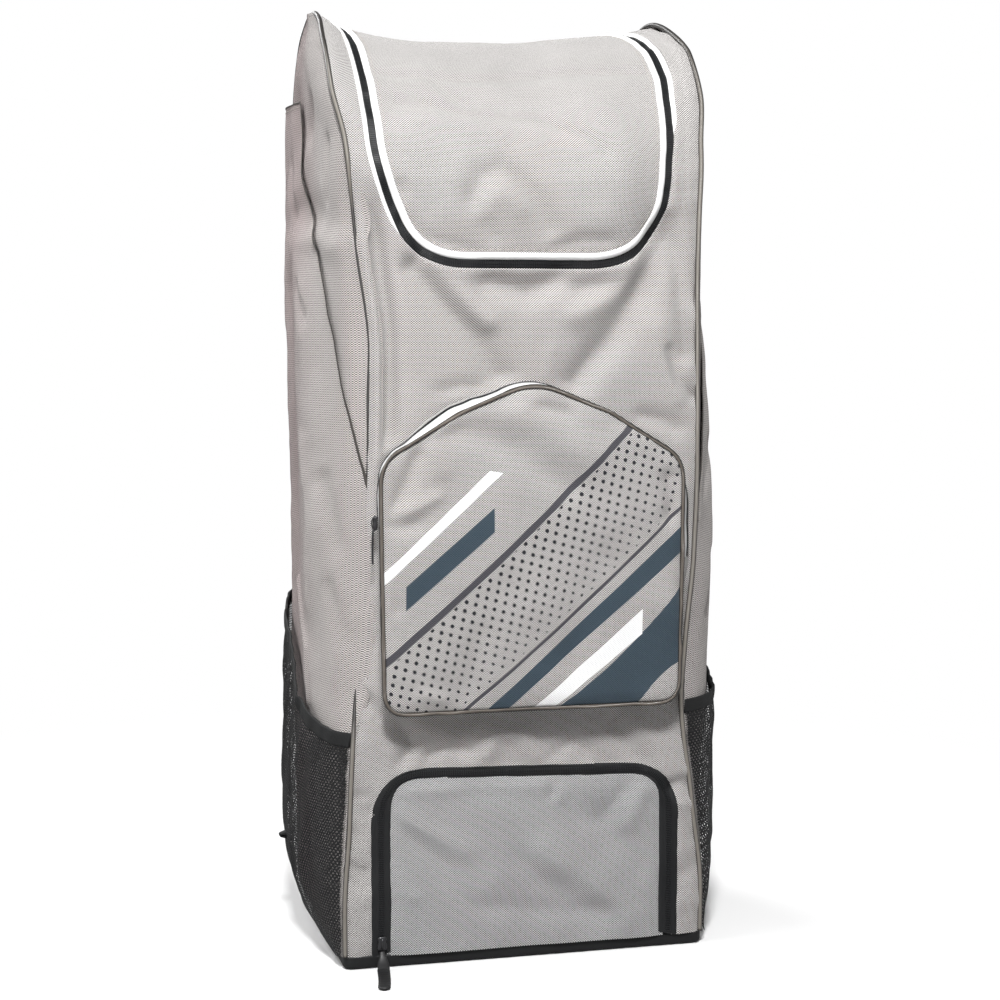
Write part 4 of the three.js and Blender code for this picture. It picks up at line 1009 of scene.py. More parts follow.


# The second, dark colour of each woven cloth is painted shade in the gaps between its yarns.
FRONT_CLOTH = woven("front cloth", "d9d6d4", "423e3c")
# The side cloth carries a painted pinkish reflection towards the back of the sides.
SIDE_CLOTH = woven("side cloth", "d3cdca", "3f3a38", paint=pink_reflection_tint, ridges=0.5)
DOOR_CLOTH = woven("door cloth", "cccccc", "434343")
PRINTED_CLOTH = woven("printed cloth", "d9d6d4", "423e3c", paint=slanted_print)
# Each piping's dark second colour is painted shade at the cord's edges; on the left piping it is also painted
# shadow from 205 to 690 mm along, where the seam's fold covers it.
PIPING_CLOTH = corded("piping", "5c554e", "1d1a18", 0.26)
SIDE_PIPING = {
    LEFT: corded("left side piping", "7a756e", "262321", 0.36, (205, 690)),
    RIGHT: corded("right side piping", "7a756e", "262321", 0.36),
}
WHITE_TRIM = ribbed("white trim", "f6f6f6", 0.38, 1.6, 0.00005, 0.5, coat=0.2)
ZIP_TAPE = ribbed("zip tape", "131416", 0.62, 0.9, 0.00012)
ZIP_TEETH = plain("zip teeth", "1b1c1e", 0.38, 0.5)
EDGE_TAPE = ribbed("edge tape", "3d3936", 0.6, 1.1, 0.0001)
BINDING_TAPE = ribbed("binding", "121314", 0.7, 1.5, 0.00022)
TRAY_CLOTH = plain("base", "151617", 0.55, 0.4, grain=0.003, distance=0.0002)
NET_YARN = plain("net", "0e0e10", 0.55, 0.4)
METAL = plain("dark metal", "4a4a4c", 0.34, 0.5, metallic=0.85, distance=0.00003)
RUBBER = plain("rubber", "19191a", 0.5, 0.5)
THREAD = plain("thread", "b5aea7", 0.7, 0.3)


def declare(obj, width, length):
    """Work out the size that a piece of cloth was cut to, and its area without the rise of its folds; nothing
    is done with them.
    """
    area = sum(face.area for face in obj.data.polygons)
    whole = width * length * 1e-6
    share = min(1.0, max(0.301, area / 1.04 / whole))
    width / 1000
    length / 1000
    share * whole


# Front, lid and back
def body_grid(low, high, step):
    """Places across the bag and along its outline, closer together near the side seams."""
    rows = int(round((high - low) / step)) + 1
    columns = int(round(WIDTH / step)) + 1
    along = np.linspace(low, high, rows)[:, None]
    share = np.linspace(0, 1, columns)[None, :]
    share = share + 0.03 * np.sin(2 * np.pi * share)
    x = (seam_x(LEFT, along) + 1.6) * (1 - share) + (seam_x(RIGHT, along) - 1.6) * share
    along = np.broadcast_to(along, x.shape)
    return x, along


def centres(grid):
    return (grid[1:, 1:] + grid[:-1, 1:] + grid[1:, :-1] + grid[:-1, :-1]) / 4


def build_body():
    x, along = body_grid(PANEL_FOOT - 1, LID_END + 1.5, 2.15)
    grid = on_body(x, along, 0.0)
    uv = np.stack([x, along], -1)
    mid_x, mid_along = centres(x), centres(along)
    closed = np.vstack([[LID_PATH[0, 0], LID_END + 60], LID_PATH, [LID_PATH[-1, 0], LID_END + 60]])
    in_lid = inside(closed, mid_x, mid_along)
    in_door = inside(shoe_outline(6, 6), mid_x, mid_along)
    add_cloth("front_panel", grid, uv, FRONT_CLOTH, "body_cloth", (WIDTH, LID_END - PANEL_FOOT),
              keep=~in_lid & ~in_door)
    add_cloth("lid_flap", grid, uv, FRONT_CLOTH, "body_cloth", (LID_WIDTH, LID_END - LID_LOW), keep=in_lid)
    x, along = body_grid(LID_END + 1.5, GIRTH - PANEL_FOOT + 1, 3.1)
    size = (WIDTH, GIRTH - PANEL_FOOT - LID_END)
    add_cloth("back_panel", on_body(x, along, 0.0), np.stack([x, along], -1), FRONT_CLOTH, "body_cloth", size)


# Zip of the lid, its white trims and the hem that lies over the outer one
def hem_reach(path):
    """How far the front cloth reaches over the outer trim, from 0 high up to 1."""
    left = 0.7 * smooth((805 - path[:, 1]) / 130) + 0.3 * smooth((680 - path[:, 1]) / 30)
    right = 0.15 + 0.85 * np.clip((838 - path[:, 1]) / 100, 0, 1)
    return np.where(path[:, 0] < 0, left, right) * smooth((LID_END - 40 - path[:, 1]) / 60)


HEM_PROFILE = np.array([
    (0.9, -1.2), (0.2, -0.6), (0.0, 0.5), (0.35, 1.25), (1.2, 1.7), (3.2, 1.75), (5.6, 1.3),
    (8.5, 0.6), (12.0, 0.05), (15.0, -0.5),
])


def build_lid_zip():
    count = len(LID_PATH)
    hem = hem_reach(LID_PATH)
    sink = LID_END_SINK * smooth((LID_PATH[:, 1] - LID_END + 24) / 22)
    zip_half = 3.3 + 0.7 * smooth((700 - LID_PATH[:, 1]) / 60)
    section = np.stack([tape(LID_ZIP / 2, -0.9, 0.9, 0.35)] * count)
    section[..., 1] -= sink[:, None]
    add_tube("lid_zip", ribbon(LID_PATH, section, on_body), ZIP_TAPE, "zip_tape")
    add_coil("lid_zip_coil", LID_PATH[9:-9], 1.25, 0.1, 0.7)
    trims = (("lid_trim_inner", 1, 0.1, 0.0), ("lid_trim_outer", -1, -0.75, 2.4 * smooth(hem * 3 - 1.8)))
    for name, side, wider, drop in trims:
        half = LID_TRIM / 2 + wider
        section = np.stack([tape(1.0, 0.0, 1.0, 1.0, 9)] * count)
        section[..., 0] = section[..., 0] * half + side * (zip_half + half)[:, None]
        section[..., 1] = -0.8 + section[..., 1] * 1.55 - (drop + sink)[:, None]
        add_tube(name, ribbon(LID_PATH, section, on_body), WHITE_TRIM, "white_trim")
    build_hem(hem, zip_half - 0.2)


def build_hem(hem, lip):
    """The folded edge of the front cloth round the lid's zip, and the stitches on both sides."""
    count = len(LID_PATH)
    far = lip + LID_TRIM + 0.6
    edge = lip + (far - lip) * (1 - hem)
    aside = -(edge[:, None] + HEM_PROFILE[:, 0] * (0.5 + 0.5 * hem[:, None]))
    out = HEM_PROFILE[:, 1] * (0.35 + 0.65 * hem)[:, None] + 0.1
    out += (0.35 * noise(np.arange(count) * 3.2, np.zeros(count), 15, 121) * hem)[:, None]
    a, b = beside(LID_PATH, aside)
    keep = hem > 0.02
    keep = np.repeat((keep[1:] & keep[:-1])[:, None], len(HEM_PROFILE) - 1, axis=1)
    faces = grid_faces(count, len(HEM_PROFILE), flip=True)[keep.ravel()]
    cloth = new_object("lid_opening_hem", on_body(a, b, out), faces, np.stack([a, b], -1))
    finish_piece(cloth, FRONT_CLOTH, "body_cloth")
    add_stitches("lid_hem_stitches", LID_PATH[hem > 0.95], on_body, -7.0, 1.7, "body_cloth")
    add_stitches("lid_flap_stitches", LID_PATH, on_body, 12.6, 0.15, "body_cloth")


# Sides, their piping, sleeves, nets and tab
def side_grid(side, low, high, step):
    rows = int(round((high - low) / step)) + 1
    columns = int(round(DEPTH / step)) + 1
    along = np.linspace(low, high, rows)[:, None]
    depth = np.sin(np.linspace(-1, 1, columns) * np.pi / 2)[None, :]
    depth = 0.35 * depth + 0.65 * np.linspace(-1, 1, columns)[None, :]
    along, depth = np.broadcast_arrays(along, depth)
    return depth, along, on_side(side, depth, along, 0.0)


def sleeve_front(along):
    """Depth of the sleeve's front seam at a height."""
    keys = SEAM_LINE[:, 1]
    return np.where(along <= keys[0], -1.0, np.interp(along, keys, SEAM_LINE[:, 0] / HALF_DEPTH))


def build_side(side):
    name = NAMES[side]
    depth, along, grid = side_grid(side, PANEL_FOOT - 1, APEX - 5, 3.2)
    uv = np.stack([depth * HALF_DEPTH, along], -1)
    size = (DEPTH, APEX - PANEL_FOOT)
    add_cloth(f"side_panel_{name}", grid, uv, SIDE_CLOTH, "side_cloth", size, side == LEFT)
    along = np.linspace(PANEL_FOOT, GIRTH - PANEL_FOOT, 640)
    y, z, ny, nz, top = outline_at(along)
    sag = TOP_SAG * top * SAG_ACROSS[0 if side == LEFT else -1][1]
    wave = 0.5 * noise(along, 0 * along, 40, 131 + side)
    folded = tuck(side, along)
    sink = 1.6 + 8.4 * folded
    angle = 2 * np.pi * np.arange(12) / 12
    radius = (PIPING - 0.35 - 1.0 * folded)[:, None]
    across = radius * np.cos(angle)[None, :] + wave[:, None] - side * (1.6 + 0.4 * folded)[:, None]
    out = radius * np.sin(angle)[None, :] - (sink - 0.6 + sag * 0.9)[:, None]
    x = seam_x(side, along)[:, None] + across
    rings = np.stack([x, y[:, None] + ny[:, None] * out, z[:, None] + nz[:, None] * out], -1)
    add_tube(f"side_piping_{name}", rings, SIDE_PIPING[side], "piping", flip=True)


def over_side(side, outer):
    """A way to lay points on the sleeve or the net over a side."""
    def place(a, b, out):
        depth = np.clip(a / HALF_DEPTH, -1, 1)
        return on_side(side, depth, b, outer(side, depth, b) + out)
    return place


def build_sleeve(side):
    name = NAMES[side]
    along = np.linspace(PANEL_FOOT - 1, SLEEVE_TOP, 280)[:, None]
    share = np.linspace(0, 1, 104)[None, :]
    depth = sleeve_front(along) * (1 - share) + share
    along = along + 5.0 * smooth((along - 700) / 90) * (depth * 0.9 - 0.1)
    depth, along = np.broadcast_arrays(depth, along)
    place = over_side(side, sleeve_out)
    grid = place(depth * HALF_DEPTH, along, 0.0)
    uv = np.stack([depth * HALF_DEPTH, along], -1)
    size = (DEPTH, SLEEVE_TOP - PANEL_FOOT)
    add_cloth(f"bat_sleeve_{name}", grid, uv, SIDE_CLOTH, "side_cloth", size, side == LEFT)
    back = np.linspace(SLEEVE_SEAM[-1][0], 1, 24)
    top = np.stack([back * HALF_DEPTH, SLEEVE_TOP + 5.0 * (back * 0.9 - 0.1)], 1)
    seam = np.vstack([[[-HALF_DEPTH, 405]], SEAM_LINE[1:-1], top])
    line = resample(seam, 4.0)
    line[:, 0] = np.clip(line[:, 0], -HALF_DEPTH, HALF_DEPTH)
    rings = ribbon(line, circle(0.85, 0.15, 8, 0.6), place)
    add_tube(f"sleeve_edge_{name}", rings, EDGE_TAPE, "piping", flip=side == LEFT)
    add_stitches(f"sleeve_stitches_{name}", line, place, -4.5, 0.05, "side_cloth")


def build_net(side):
    name = NAMES[side]
    place = over_side(side, net_out)
    rows, columns = int(NET_LENGTH / NET_ROW) + 1, int(DEPTH / NET_PITCH) + 1
    j, i = np.meshgrid(np.arange(rows), np.arange(columns), indexing="ij")
    a = -HALF_DEPTH + 1.5 + (i + 0.5 * (j % 2)) * NET_PITCH
    b = PANEL_FOOT + j * NET_ROW
    fits = (a < HALF_DEPTH - 1.5) & (b < mesh_mouth(side, a / HALF_DEPTH) - BINDING + 1.5)
    a, b = a[fits][:, None], b[fits][:, None]
    angle = np.pi / 6 + np.pi / 3 * np.arange(6)
    outer = NET_PITCH / np.sqrt(3)
    hole = outer - NET_STRAND / np.sqrt(3)
    cells = [place(a + radius * np.cos(angle), b + radius * np.sin(angle), out)
             for radius, out in ((outer, 0.3), (hole, -0.05))]
    k = np.arange(6)
    cell = np.stack([k, (k + 1) % 6, (k + 1) % 6 + 6, k + 6], 1)
    if side == LEFT:
        cell = cell[:, ::-1]
    faces = cell[None] + (np.arange(len(a)) * 12)[:, None, None]
    net = new_object(f"mesh_pocket_{name}", np.concatenate(cells, 1), faces.reshape(-1, 4))
    finish_piece(net, NET_YARN, "net", f"mesh_pocket_{name}")
    depth = np.linspace(-1, 1, 150)
    line = np.stack([depth * HALF_DEPTH, mesh_mouth(side, depth) - BINDING / 2], 1)
    section = np.stack([tape(BINDING / 2, -0.6, 1.7, 0.5, 9)] * len(line))
    section[..., 1] += 0.7 * noise(line[:, :1], 0 * line[:, :1], 11, 141)
    rings = ribbon(line, section, place)
    add_tube(f"mesh_binding_{name}", rings, BINDING_TAPE, "binding", flip=side == LEFT)


def build_tab():
    depth = TAB_DEPTH / HALF_DEPTH
    start = on_side(LEFT, depth, TAB_HEIGHT, net_out(LEFT, depth, np.array(TAB_HEIGHT)))
    turn = np.linspace(np.pi / 2, -np.pi / 2, 9)[1:-1]
    tip = [(-5.4 - 1.2 * np.cos(t), 1.3 * np.sin(t)) for t in turn]
    way = np.array([(6.0, 3.6), (1.0, 2.2), (-5.4, 1.3)] + tip + [(-5.4, -1.3), (1.0, -2.2), (6.0, -3.6)])
    away = np.stack([np.gradient(way[:, 1]), -np.gradient(way[:, 0])], 1)
    away /= np.hypot(away[:, 0], away[:, 1])[:, None]
    rings = []
    for (x, z), (nx, nz) in zip(way, away):
        half = 8.5 - 0.8 * max(0.0, -x)
        for across, out in ((-half, -0.5), (half, -0.5), (half, 0.5), (-half, 0.5)):
            rings.append((start[0] + x + nx * out, start[1] + across, start[2] + z + nz * out))
    add_tube("side_tab_left", np.array(rings).reshape(len(way), 4, 3), BINDING_TAPE, "binding")


# Base
def build_base():
    profile = (
        (3.0, 12.2), (2.2, 12.6), (1.0, 12.5), (0.2, 11.8), (0.0, 10.4), (0.15, 7.0), (0.0, 4.0), (0.4, 2.0),
        (1.4, 0.7), (3.2, 0.1), (8.0, 0.0), (40.0, 0.0), (90.0, 0.0), (148.0, 0.0),
    )
    corner_points = 9
    rings = []
    for inset, height in profile:
        half, deep = HALF_WIDTH - inset, HALF_DEPTH - inset
        round_ = max(1.5, 9 - inset * 0.5)
        corners = [(x * half, y * deep, round_) for x, y in ((-1, -1), (1, -1), (1, 1), (-1, 1))]
        outline = np.roll(rounded(corners), 1 - corner_points, 0)
        sides = []
        for start in range(0, len(outline), corner_points):
            corner = outline[start:start + corner_points]
            after = outline[(start + corner_points) % len(outline)]
            fill = np.linspace(0, 1, 42)[1:-1, None]
            sides += [corner, corner[-1] * (1 - fill) + after * fill]
        outline = np.vstack(sides)
        rings.append(np.column_stack([outline, np.full(len(outline), height)]))
    rings = np.array(rings)
    wave = 0.35 * noise(rings[0, :, 0] + rings[0, :, 1], rings[0, :, 1], 24, 151)
    rings[1:8] += wave[None, :, None] * np.array([0.5, 0.5, 0.3])
    faces = grid_faces(len(rings), rings.shape[1], wrap_columns=True)
    step = np.linalg.norm(rings[4] - np.roll(rings[4], 1, 0), axis=1)
    uv = np.stack(np.broadcast_arrays(np.cumsum(step), np.array(profile)[:, 1:]), -1)
    base = new_object("base_panel", rings, faces, uv)
    finish_piece(base, TRAY_CLOTH, "base_tray", "base_panel")


# Front pocket
def splay(path):
    """How much wider the pocket's wall is at its foot than at its face."""
    x, along = path[:, 0], path[:, 1]
    low_left = -3.2 * smooth((498 - along) / 30) * smooth((-x - 60) / 40)
    left = 6.5 * hill(x, -72, 45) * smooth((along - 440) / 50)
    top = 2.6 * smooth((along - 480) / 40)
    right = 14.5 * smooth((x - 118) / 22) * smooth((along - 300) / 70) * smooth((478 - along) / 60)
    return 1.0 + low_left + np.maximum(np.maximum(left, top), right)


def on_wall(path):
    """A point of the pocket's wall: place along its outline, share up the wall, and out of it."""
    across = sideways(path, True)
    wide = splay(path)

    def place(i, share, out):
        i, share, out = np.broadcast_arrays(i, np.asarray(share, float), np.asarray(out, float))
        ripple = 0.7 * noise(path[i, 0] + path[i, 1], share * 12, 14, 161)
        aside = -(wide[i] * (1 - share) ** 1.1 + ripple * np.sin(np.pi * np.clip(share, 0, 1)) + out)
        spot = path[i] + across[i] * aside[..., None]
        return on_body(spot[..., 0], spot[..., 1], 0.2 + share * 25.6)
    return place


def build_pocket_face():
    path = POCKET_PATH
    centre = POCKET_BOTTOM + POCKET_HEIGHT * 0.48
    edge = offset(path, POCKET_PIPING - 0.9, True)
    levels = np.concatenate([[1.0, 0.994], 1 - np.linspace(0, 1, 72)[1:-1], [0.004]])[:, None]
    x = edge[:, 0] * levels
    along = centre + (edge[:, 1] - centre) * levels
    away, place = nearest(path[::2], x, along, True)
    half, middle = POCKET_WIDTH / 2 + 10, POCKET_BOTTOM + POCKET_HEIGHT / 2
    puff = np.maximum(0, 1 - (x / half) ** 2)
    puff *= np.maximum(0, 1 - ((along - middle) / (POCKET_HEIGHT / 2)) ** 2)
    rise = creases(POCKET_CREASES, x, along, 171, POCKET_FOLDS)
    rise += 1.3 * noise(x, along, 55, 172) + 0.5 * noise(x, along, 22, 173)
    rise = rise * smooth(away / 14) + pucker(away, place, 12, 0.6, 9, 174)
    rise += pucker(away, place, 29, 1.3, 20, 176) * smooth(away / 6)
    out = POCKET_DEPTH - 1.4 + POCKET_PUFF * puff + 1.6 * smooth(away / 12) + rise
    out -= 1.4 * (1 - smooth((away - 0.5) / 3.0))
    faces = grid_faces(*x.shape, wrap_columns=True)
    face = new_object("front_pocket_face", on_body(x, along, out), faces, np.stack([x, along], -1))
    finish_piece(face, PRINTED_CLOTH, "printed_cloth", "front_pocket_face")
    declare(face, POCKET_WIDTH, POCKET_HEIGHT)
    ring = ribbon(path, circle(POCKET_PIPING - 0.4, POCKET_DEPTH - 1, 12), on_body, True)
    add_tube("front_pocket_piping", ring, PIPING_CLOTH, "piping", True)


def build_pocket_wall():
    """The pocket's wall with its zip and white trim; gives the place where the zip ends."""
    path = POCKET_PATH
    count = len(path)
    wall = on_wall(path)
    shares = np.linspace(-0.02, 0.97, 12)
    grid = wall(np.arange(count)[:, None], shares, 0.0)
    uv = ring_uv(way_along(with_end(path, True)), shares * 26)
    add_cloth("front_pocket_gusset", np.vstack([grid, grid[:1]]), uv, FRONT_CLOTH, "body_cloth")

    shoulder = POCKET_BOTTOM + POCKET_HEIGHT - POCKET_SHOULDER
    zipped = path[:, 1] > shoulder - np.where(path[:, 0] < 0, POCKET_ZIP_LEFT, POCKET_ZIP_RIGHT)
    first = int(np.flatnonzero(zipped & ~np.roll(zipped, 1))[0])
    index = (first + np.arange(zipped.sum())) % count
    step = np.arange(len(index))
    ends = np.clip(np.minimum(step, step[::-1]) / 4, 0.1, 1)[:, None]
    trims = (
        ("front_pocket_trim", (0.36, 0.4, 0.65, 0.9, 0.95), (0.85, 1.1, 0.9), WHITE_TRIM, "white_trim"),
        ("front_pocket_zip", (0.18, 0.2, 0.27, 0.34, 0.36), (0.6, 0.9, 0.6), ZIP_TAPE, "zip_tape"),
    )
    for name, up, out, material, slot in trims:
        out = np.array([0, *out, 0, -0.4, -0.4]) * ends
        rings = wall(index[:, None], np.array([*up, up[-1], up[0]]), out)
        add_tube(name, rings, material, slot)
    fine = np.linspace(0, len(index) - 1, int(len(index) * 3.0 / 1.6))
    spots = read_at(wall(index, 0.27, 0.8), step, fine)
    runs = np.gradient(spots, axis=0)
    ups = np.cross(runs, np.array([0.0, -1.0, 0.0]))
    base = read_at(path[index], step, fine)
    ups *= np.sign(ups[:, [0]] * base[:, [0]] + ups[:, [2]] * 0.5 + 1e-9)
    coil = scatter("front_pocket_coil", TOOTH, TOOTH_FACES, spots, runs, ups, (0.9, 1.0, 0.6))
    finish_piece(coil, ZIP_TEETH, "zip_tape")
    return path[index[-1]]


def soft_square(power, sides):
    """Cosine and sine round a square with soft corners."""
    angle = 2 * np.pi * (np.arange(sides) + 0.5) / sides
    c, s = np.cos(angle), np.sin(angle)
    return np.abs(c) ** power * np.sign(c), np.abs(s) ** power * np.sign(s)


def slider_shape(name, place, turn, width):
    """Zip slider: a waisted body and its raised bridge for a pull."""
    c, s = soft_square(0.55, 16)
    body = []
    for share in np.linspace(-1, 1, 15):
        half = width / 2 * (1 - 0.22 * hill(share, 0.25, 0.35)) * np.sqrt(1 - 0.72 * share**8)
        tall = SLIDER_THICK / 2 * np.sqrt(1 - 0.6 * share**6)
        body.append(np.stack([half * c, tall * s, np.full(16, share * SLIDER_LENGTH / 2)], 1))
    angle = np.linspace(0.15, np.pi - 0.15, 11)
    arch = np.stack([0 * angle, SLIDER_THICK / 2 + 1.5 * np.sin(angle) - 0.4,
                     0.36 * SLIDER_LENGTH * np.cos(angle)], 1)
    turns = 2 * np.pi * np.arange(8)[:, None] / 8
    side = np.array([1.0, 0, 0])
    bridge = []
    for point, way in zip(arch, np.gradient(arch, axis=0)):
        up = np.cross(way / np.linalg.norm(way), side)
        bridge.append(point + 1.3 * np.cos(turns) * side + 0.65 * np.sin(turns) * up)
    points, quads, fans, start = [], [], [], 0
    for rings in (np.array(body), np.array(bridge)):
        count, corners = rings.shape[:2]
        quads.append(grid_faces(count, corners, False, True) + start)
        points.append(rings.reshape(-1, 3))
        for end in (0, count - 1):
            ring = start + end * corners + np.arange(corners)
            fan = np.stack([ring[1:-1], ring[2:], np.full(corners - 2, ring[0])], 1)
            fans.append(fan if end else fan[:, ::-1])
        start += count * corners
    points = np.vstack(points) @ np.array(turn).T + place
    obj = new_object(name, points, [np.vstack(quads), np.vstack(fans)])
    finish_piece(obj, METAL, "slider_metal", name)


def loft(points, ups, halves, thicks):
    """Rings of a soft-cornered bar along points."""
    ways = np.gradient(points, axis=0)
    ways /= np.linalg.norm(ways, axis=1)[:, None]
    c, s = soft_square(0.75, 14)
    rings = []
    for point, way, up, half, thick in zip(points, ways, ups, halves, thicks):
        side = np.cross(way, up)
        side /= np.linalg.norm(side)
        lift = np.cross(side, way)
        rings.append(point + half * c[:, None] * side + thick * s[:, None] * lift)
    return np.array(rings)


def build_pocket_slider(end):
    aside, high = end[0] - 4.1, end[1] + POCKET_SLIDER_RISE
    front = -HALF_DEPTH - POCKET_SLIDER_OUT
    turn = [(0, -1, 0), (1, 0, 0), (0, 0, 1)]
    slider_shape("front_pocket_slider", (aside, front, high - SLIDER_LENGTH / 2), turn, 7.4)
    share = np.linspace(0, 1, 18)
    across = aside - 1.8 - 0.6 * np.sin(share * 2.4)
    points = np.stack([across, np.full(18, front - 0.3), high - 12.0 - share * 31.0], 1)
    halves = 1.7 * (1 + 0.15 * np.cos(share * 9)) * np.sqrt(np.clip(1 - (2 * share - 1) ** 14, 0.05, 1))
    rings = loft(points, np.tile([-1.0, 0, 0], (18, 1)), halves, np.full(18, 0.85))
    add_tube("front_pocket_pull", rings, METAL, "slider_metal")


# Shoe door
def build_door():
    step = 2.0
    half = SHOE_WIDTH / 2 - SHOE_ZIP_SIDE + 6
    x, along = np.meshgrid(np.arange(-half, half + step, step), np.arange(PANEL_FOOT - 1, SHOE_TOP + 2, step))
    inner = shoe_outline(SHOE_ZIP_SIDE, SHOE_ZIP_TOP)
    away, place = nearest(inner[::2], x, along, True)
    rise = creases(DOOR_CREASES, x, along, 181, DOOR_FOLDS) + 0.7 * noise(x, along, 45, 182)
    rise = rise * smooth(away / 16) + pucker(away, place, 13, 0.5, 8, 183)
    out = np.where(inside(inner, x, along), 0.3 + 1.3 * smooth(away / 14) + rise, -0.5)
    under = inside(shoe_outline(SHOE_ZIP_SIDE - 4, SHOE_ZIP_TOP - 3), centres(x), centres(along))
    add_cloth("shoe_door", on_body(x, along, out), np.stack([x, along], -1), DOOR_CLOTH, "door_cloth",
              (SHOE_WIDTH, SHOE_TOP), keep=under)

    outer, inner = shoe_outline(0, 0), shoe_outline(SHOE_ZIP_SIDE, SHOE_ZIP_TOP)
    at = way_along(outer)
    want = np.linspace(0, at[-1], int(at[-1] / 3) + 1)
    outer, inner = read_at(outer, at, want), read_at(inner, at, want)
    high = (outer[:, 1] > PANEL_FOOT - 2) & (inner[:, 1] > PANEL_FOOT - 30)
    first, last = np.flatnonzero(high)[[0, -1]]
    outer, inner = outer[first:last + 1], inner[first:last + 1]
    shares = np.array([-0.03, 0.0, 0.05, 0.2, 0.36, 0.42, 0.5, 0.58, 0.64, 0.8, 0.95, 1.0, 1.03])
    outs = np.array([-0.8, 0.1, 0.55, 0.45, 0.35, 0.8, 0.95, 0.8, 0.35, 0.45, 0.55, 0.1, -0.8])
    wide = np.hypot(*(outer - inner).T)
    x = outer[:, None, 0] * (1 - shares) + inner[:, None, 0] * shares
    along = np.maximum(outer[:, None, 1] * (1 - shares) + inner[:, None, 1] * shares, PANEL_FOOT - 1.5)
    out = outs[None, :] + 0.25 * noise(x, along, 16, 184)
    uv = ring_uv(want[first:last + 1], shares * wide[:, None])
    add_cloth("shoe_zip", on_body(x, along, out), uv, ZIP_TAPE, "zip_tape")
    line = (outer + inner) / 2
    add_coil("shoe_zip_coil", line[line[:, 1] > PANEL_FOOT + 2], 1.2, 0.75, 0.8)


def build_shoe_slider():
    x = -SHOE_WIDTH / 2 + SHOE_ZIP_SIDE / 2
    front = -HALF_DEPTH - 0.6 - 1.8
    turn = [(1, 0, 0), (0, -1, 0), (0, 0, 1)]
    slider_shape("shoe_slider", (x, front, PANEL_FOOT + SHOE_SLIDER_RISE + SLIDER_LENGTH / 2), turn, 9)
    route = np.array([(0, 0, 1), (3, 0, 0.66), (12, -1, 0.16), (33, -4, 0), (59, -9, 0)], float)
    top = PANEL_FOOT + SHOE_SLIDER_RISE - GAP - 0.7
    high = PULL_CLEARANCE + (top - PULL_CLEARANCE) * route[:, 2]
    points = np.stack([x + route[:, 1], front - route[:, 0], high], 1)
    keys = np.concatenate([[0], np.cumsum(np.linalg.norm(np.diff(points, axis=0), axis=1))])
    fine = np.linspace(0, keys[-1], 60)
    tangent = np.gradient(points, keys, axis=0)
    i = np.clip(np.searchsorted(keys, fine, side="right") - 1, 0, len(keys) - 2)
    span = (keys[i + 1] - keys[i])[:, None]
    t = (fine - keys[i])[:, None] / span
    line = between(t, span, points[i], points[i + 1], tangent[i], tangent[i + 1])
    share = np.linspace(0, 1, 60)
    half = 2.5 + 3.2 * smooth(share / 0.22) - 0.7 * smooth((share - 0.9) / 0.1)
    half *= np.sqrt(np.clip(1 - np.clip((share - 0.93) / 0.075, 0, 1) ** 2.5, 0.03, 1))
    grooves = np.sin(np.clip((share - 0.25) / 0.6, 0, 1) * np.pi * 9) ** 2
    thick = 1.5 - 0.25 * grooves * (share > 0.25) * (share < 0.85)
    ups = np.cross(np.array([1.0, 0, 0]), np.gradient(line, axis=0))
    rings = loft(line, ups, half, thick)
    rings[..., 2] = np.maximum(rings[..., 2], 0.15)
    add_tube("shoe_pull", rings, RUBBER, "rubber")


# Floor, light and camera
def flat_shader(tree, kind, grey, strength=None):
    """A plain shader of one grey, with a strength where it glows."""
    node = tree.nodes.new(kind)
    node.inputs[0].default_value = (grey, grey, grey, 1)
    if strength is not None:
        node.inputs[1].default_value = strength
    return node


def shader_mix(tree, share, first, second):
    node = tree.nodes.new("ShaderNodeMixShader")
    for slot, socket in zip(node.inputs, (share, first.outputs[0], second.outputs[0])):
        tree.links.new(socket, slot)
    return node


def camera_mix(tree, others, shown, output):
    """Camera rays see the second shader and all other rays the first."""
    rays = tree.nodes.new("ShaderNodeLightPath")
    node = shader_mix(tree, rays.outputs["Is Camera Ray"], others, shown)
    tree.links.new(node.outputs[0], tree.nodes.new(output).inputs[0])


def build_floor():
    corners = [(-9000, -7000, 0), (9000, -7000, 0), (9000, 11000, 0), (-9000, 11000, 0)]
    floor = new_object("floor", corners, np.array([[0, 1, 2, 3]]), smooth_faces=False)
    material = bpy.data.materials.new("floor")
    material.use_nodes = True
    tree = material.node_tree
    tree.nodes.clear()
    place = tree.nodes.new("ShaderNodeTexCoord")
    away = tree.nodes.new("ShaderNodeVectorMath")
    away.operation = "LENGTH"
    share = tree.nodes.new("ShaderNodeMapRange")
    share.interpolation_type = "SMOOTHSTEP"
    for name, value in zip(("From Min", "From Max"), FLOOR_FADE):
        share.inputs[name].default_value = value
    tree.links.new(place.outputs["Object"], away.inputs[0])
    tree.links.new(away.outputs["Value"], share.inputs["Value"])
    near = flat_shader(tree, "ShaderNodeBsdfDiffuse", 0.9)
    far = flat_shader(tree, "ShaderNodeEmission", 1, 1.0)
    dull = flat_shader(tree, "ShaderNodeBsdfDiffuse", 0.35)
    camera_mix(tree, dull, shader_mix(tree, share.outputs[0], near, far), "ShaderNodeOutputMaterial")
    floor.data.materials.append(material)


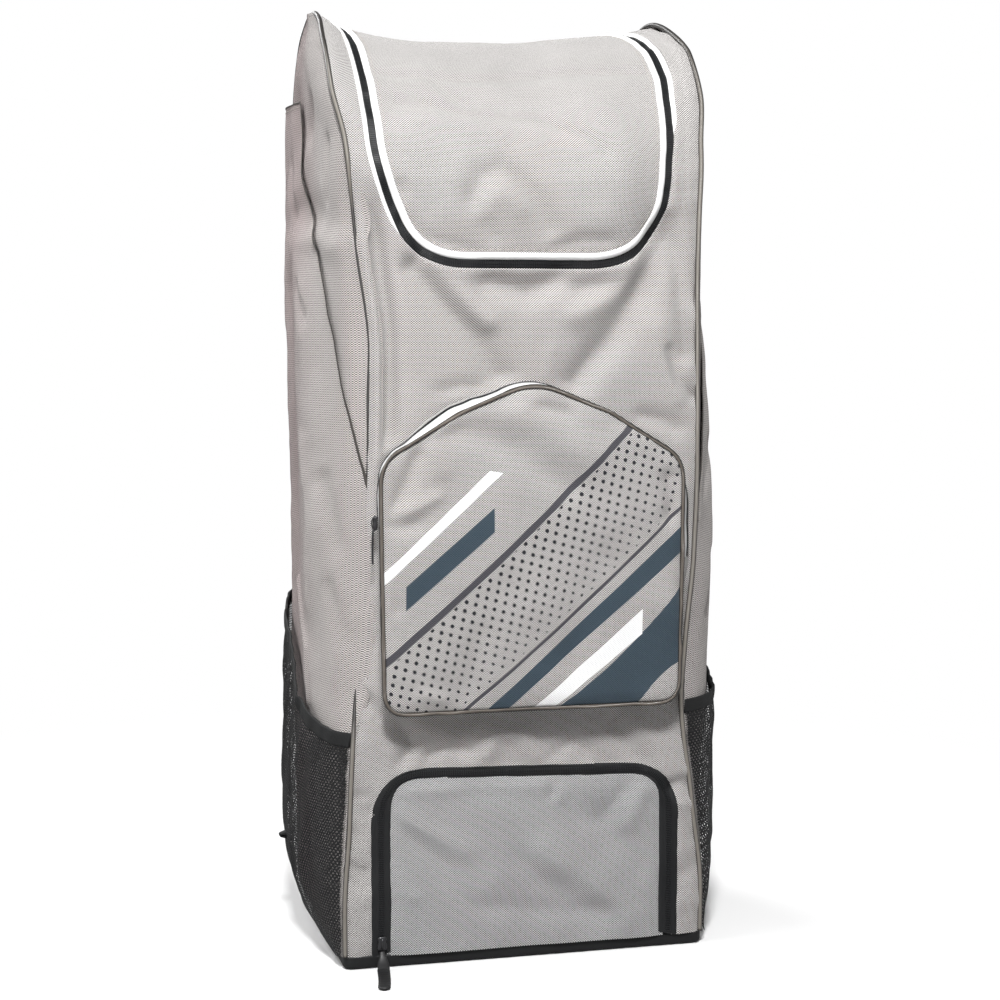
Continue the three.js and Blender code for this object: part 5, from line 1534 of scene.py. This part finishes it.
def build_light():
    scene.world = bpy.data.worlds.new("studio")
    scene.world.use_nodes = True
    tree = scene.world.node_tree
    tree.nodes.clear()
    lit = flat_shader(tree, "ShaderNodeBackground", 1, 0.25)
    seen = flat_shader(tree, "ShaderNodeBackground", 1, 1.0)
    camera_mix(tree, lit, seen, "ShaderNodeOutputWorld")
    lamps = (
        ("key", (-0.4, -1.75, 2.1), (0.0, 0.0, 0.5), 0.4, 79),
        ("side", (-2.0, -0.7, 1.0), (0.0, 0.0, 0.5), 0.8, 10),
        ("fill", (2.4, -0.3, 1.3), (0.0, 0.0, 0.45), 1.6, 8),
        ("back", (-1.2, 1.8, 2.2), (0.0, 0.0, 0.5), 1.4, 62),
    )
    for name, place, aim, size, power in lamps:
        data = bpy.data.lights.new(name, "AREA")
        data.shape = "DISK"
        data.size = size
        data.energy = power
        lamp = bpy.data.objects.new(name, data)
        scene.collection.objects.link(lamp)
        lamp.matrix_world = looking(place, aim)


def looking(place, aim):
    """Matrix of a lamp or camera at a place that looks at an aim."""
    back = np.array(place, float) - np.array(aim, float)
    back /= np.linalg.norm(back)
    right = np.cross((0, 0, 1), back)
    right /= np.linalg.norm(right)
    up = np.cross(back, right)
    matrix = np.eye(4)
    matrix[:3, 0], matrix[:3, 1], matrix[:3, 2], matrix[:3, 3] = right, up, back, place
    return Matrix(matrix.tolist())


def build_camera():
    data = bpy.data.cameras.new("camera")
    data.sensor_width = 36
    data.lens = CAMERA_LENS
    camera = bpy.data.objects.new("camera", data)
    scene.collection.objects.link(camera)
    turn, pitch = np.radians(CAMERA_YAW), np.radians(CAMERA_PITCH)
    ahead = np.array([np.sin(turn) * np.cos(pitch), np.cos(turn) * np.cos(pitch), np.sin(pitch)])
    camera.matrix_world = looking(CAMERA_PLACE, np.array(CAMERA_PLACE) + ahead)
    scene.camera = camera


build_camera()
build_body()
build_lid_zip()
for bag_side in (LEFT, RIGHT):
    build_side(bag_side)
    build_sleeve(bag_side)
    build_net(bag_side)
build_tab()
build_base()
build_pocket_face()
build_pocket_slider(build_pocket_wall())
build_door()
build_shoe_slider()
build_floor()
build_light()
scene.view_settings.view_transform = "Standard"
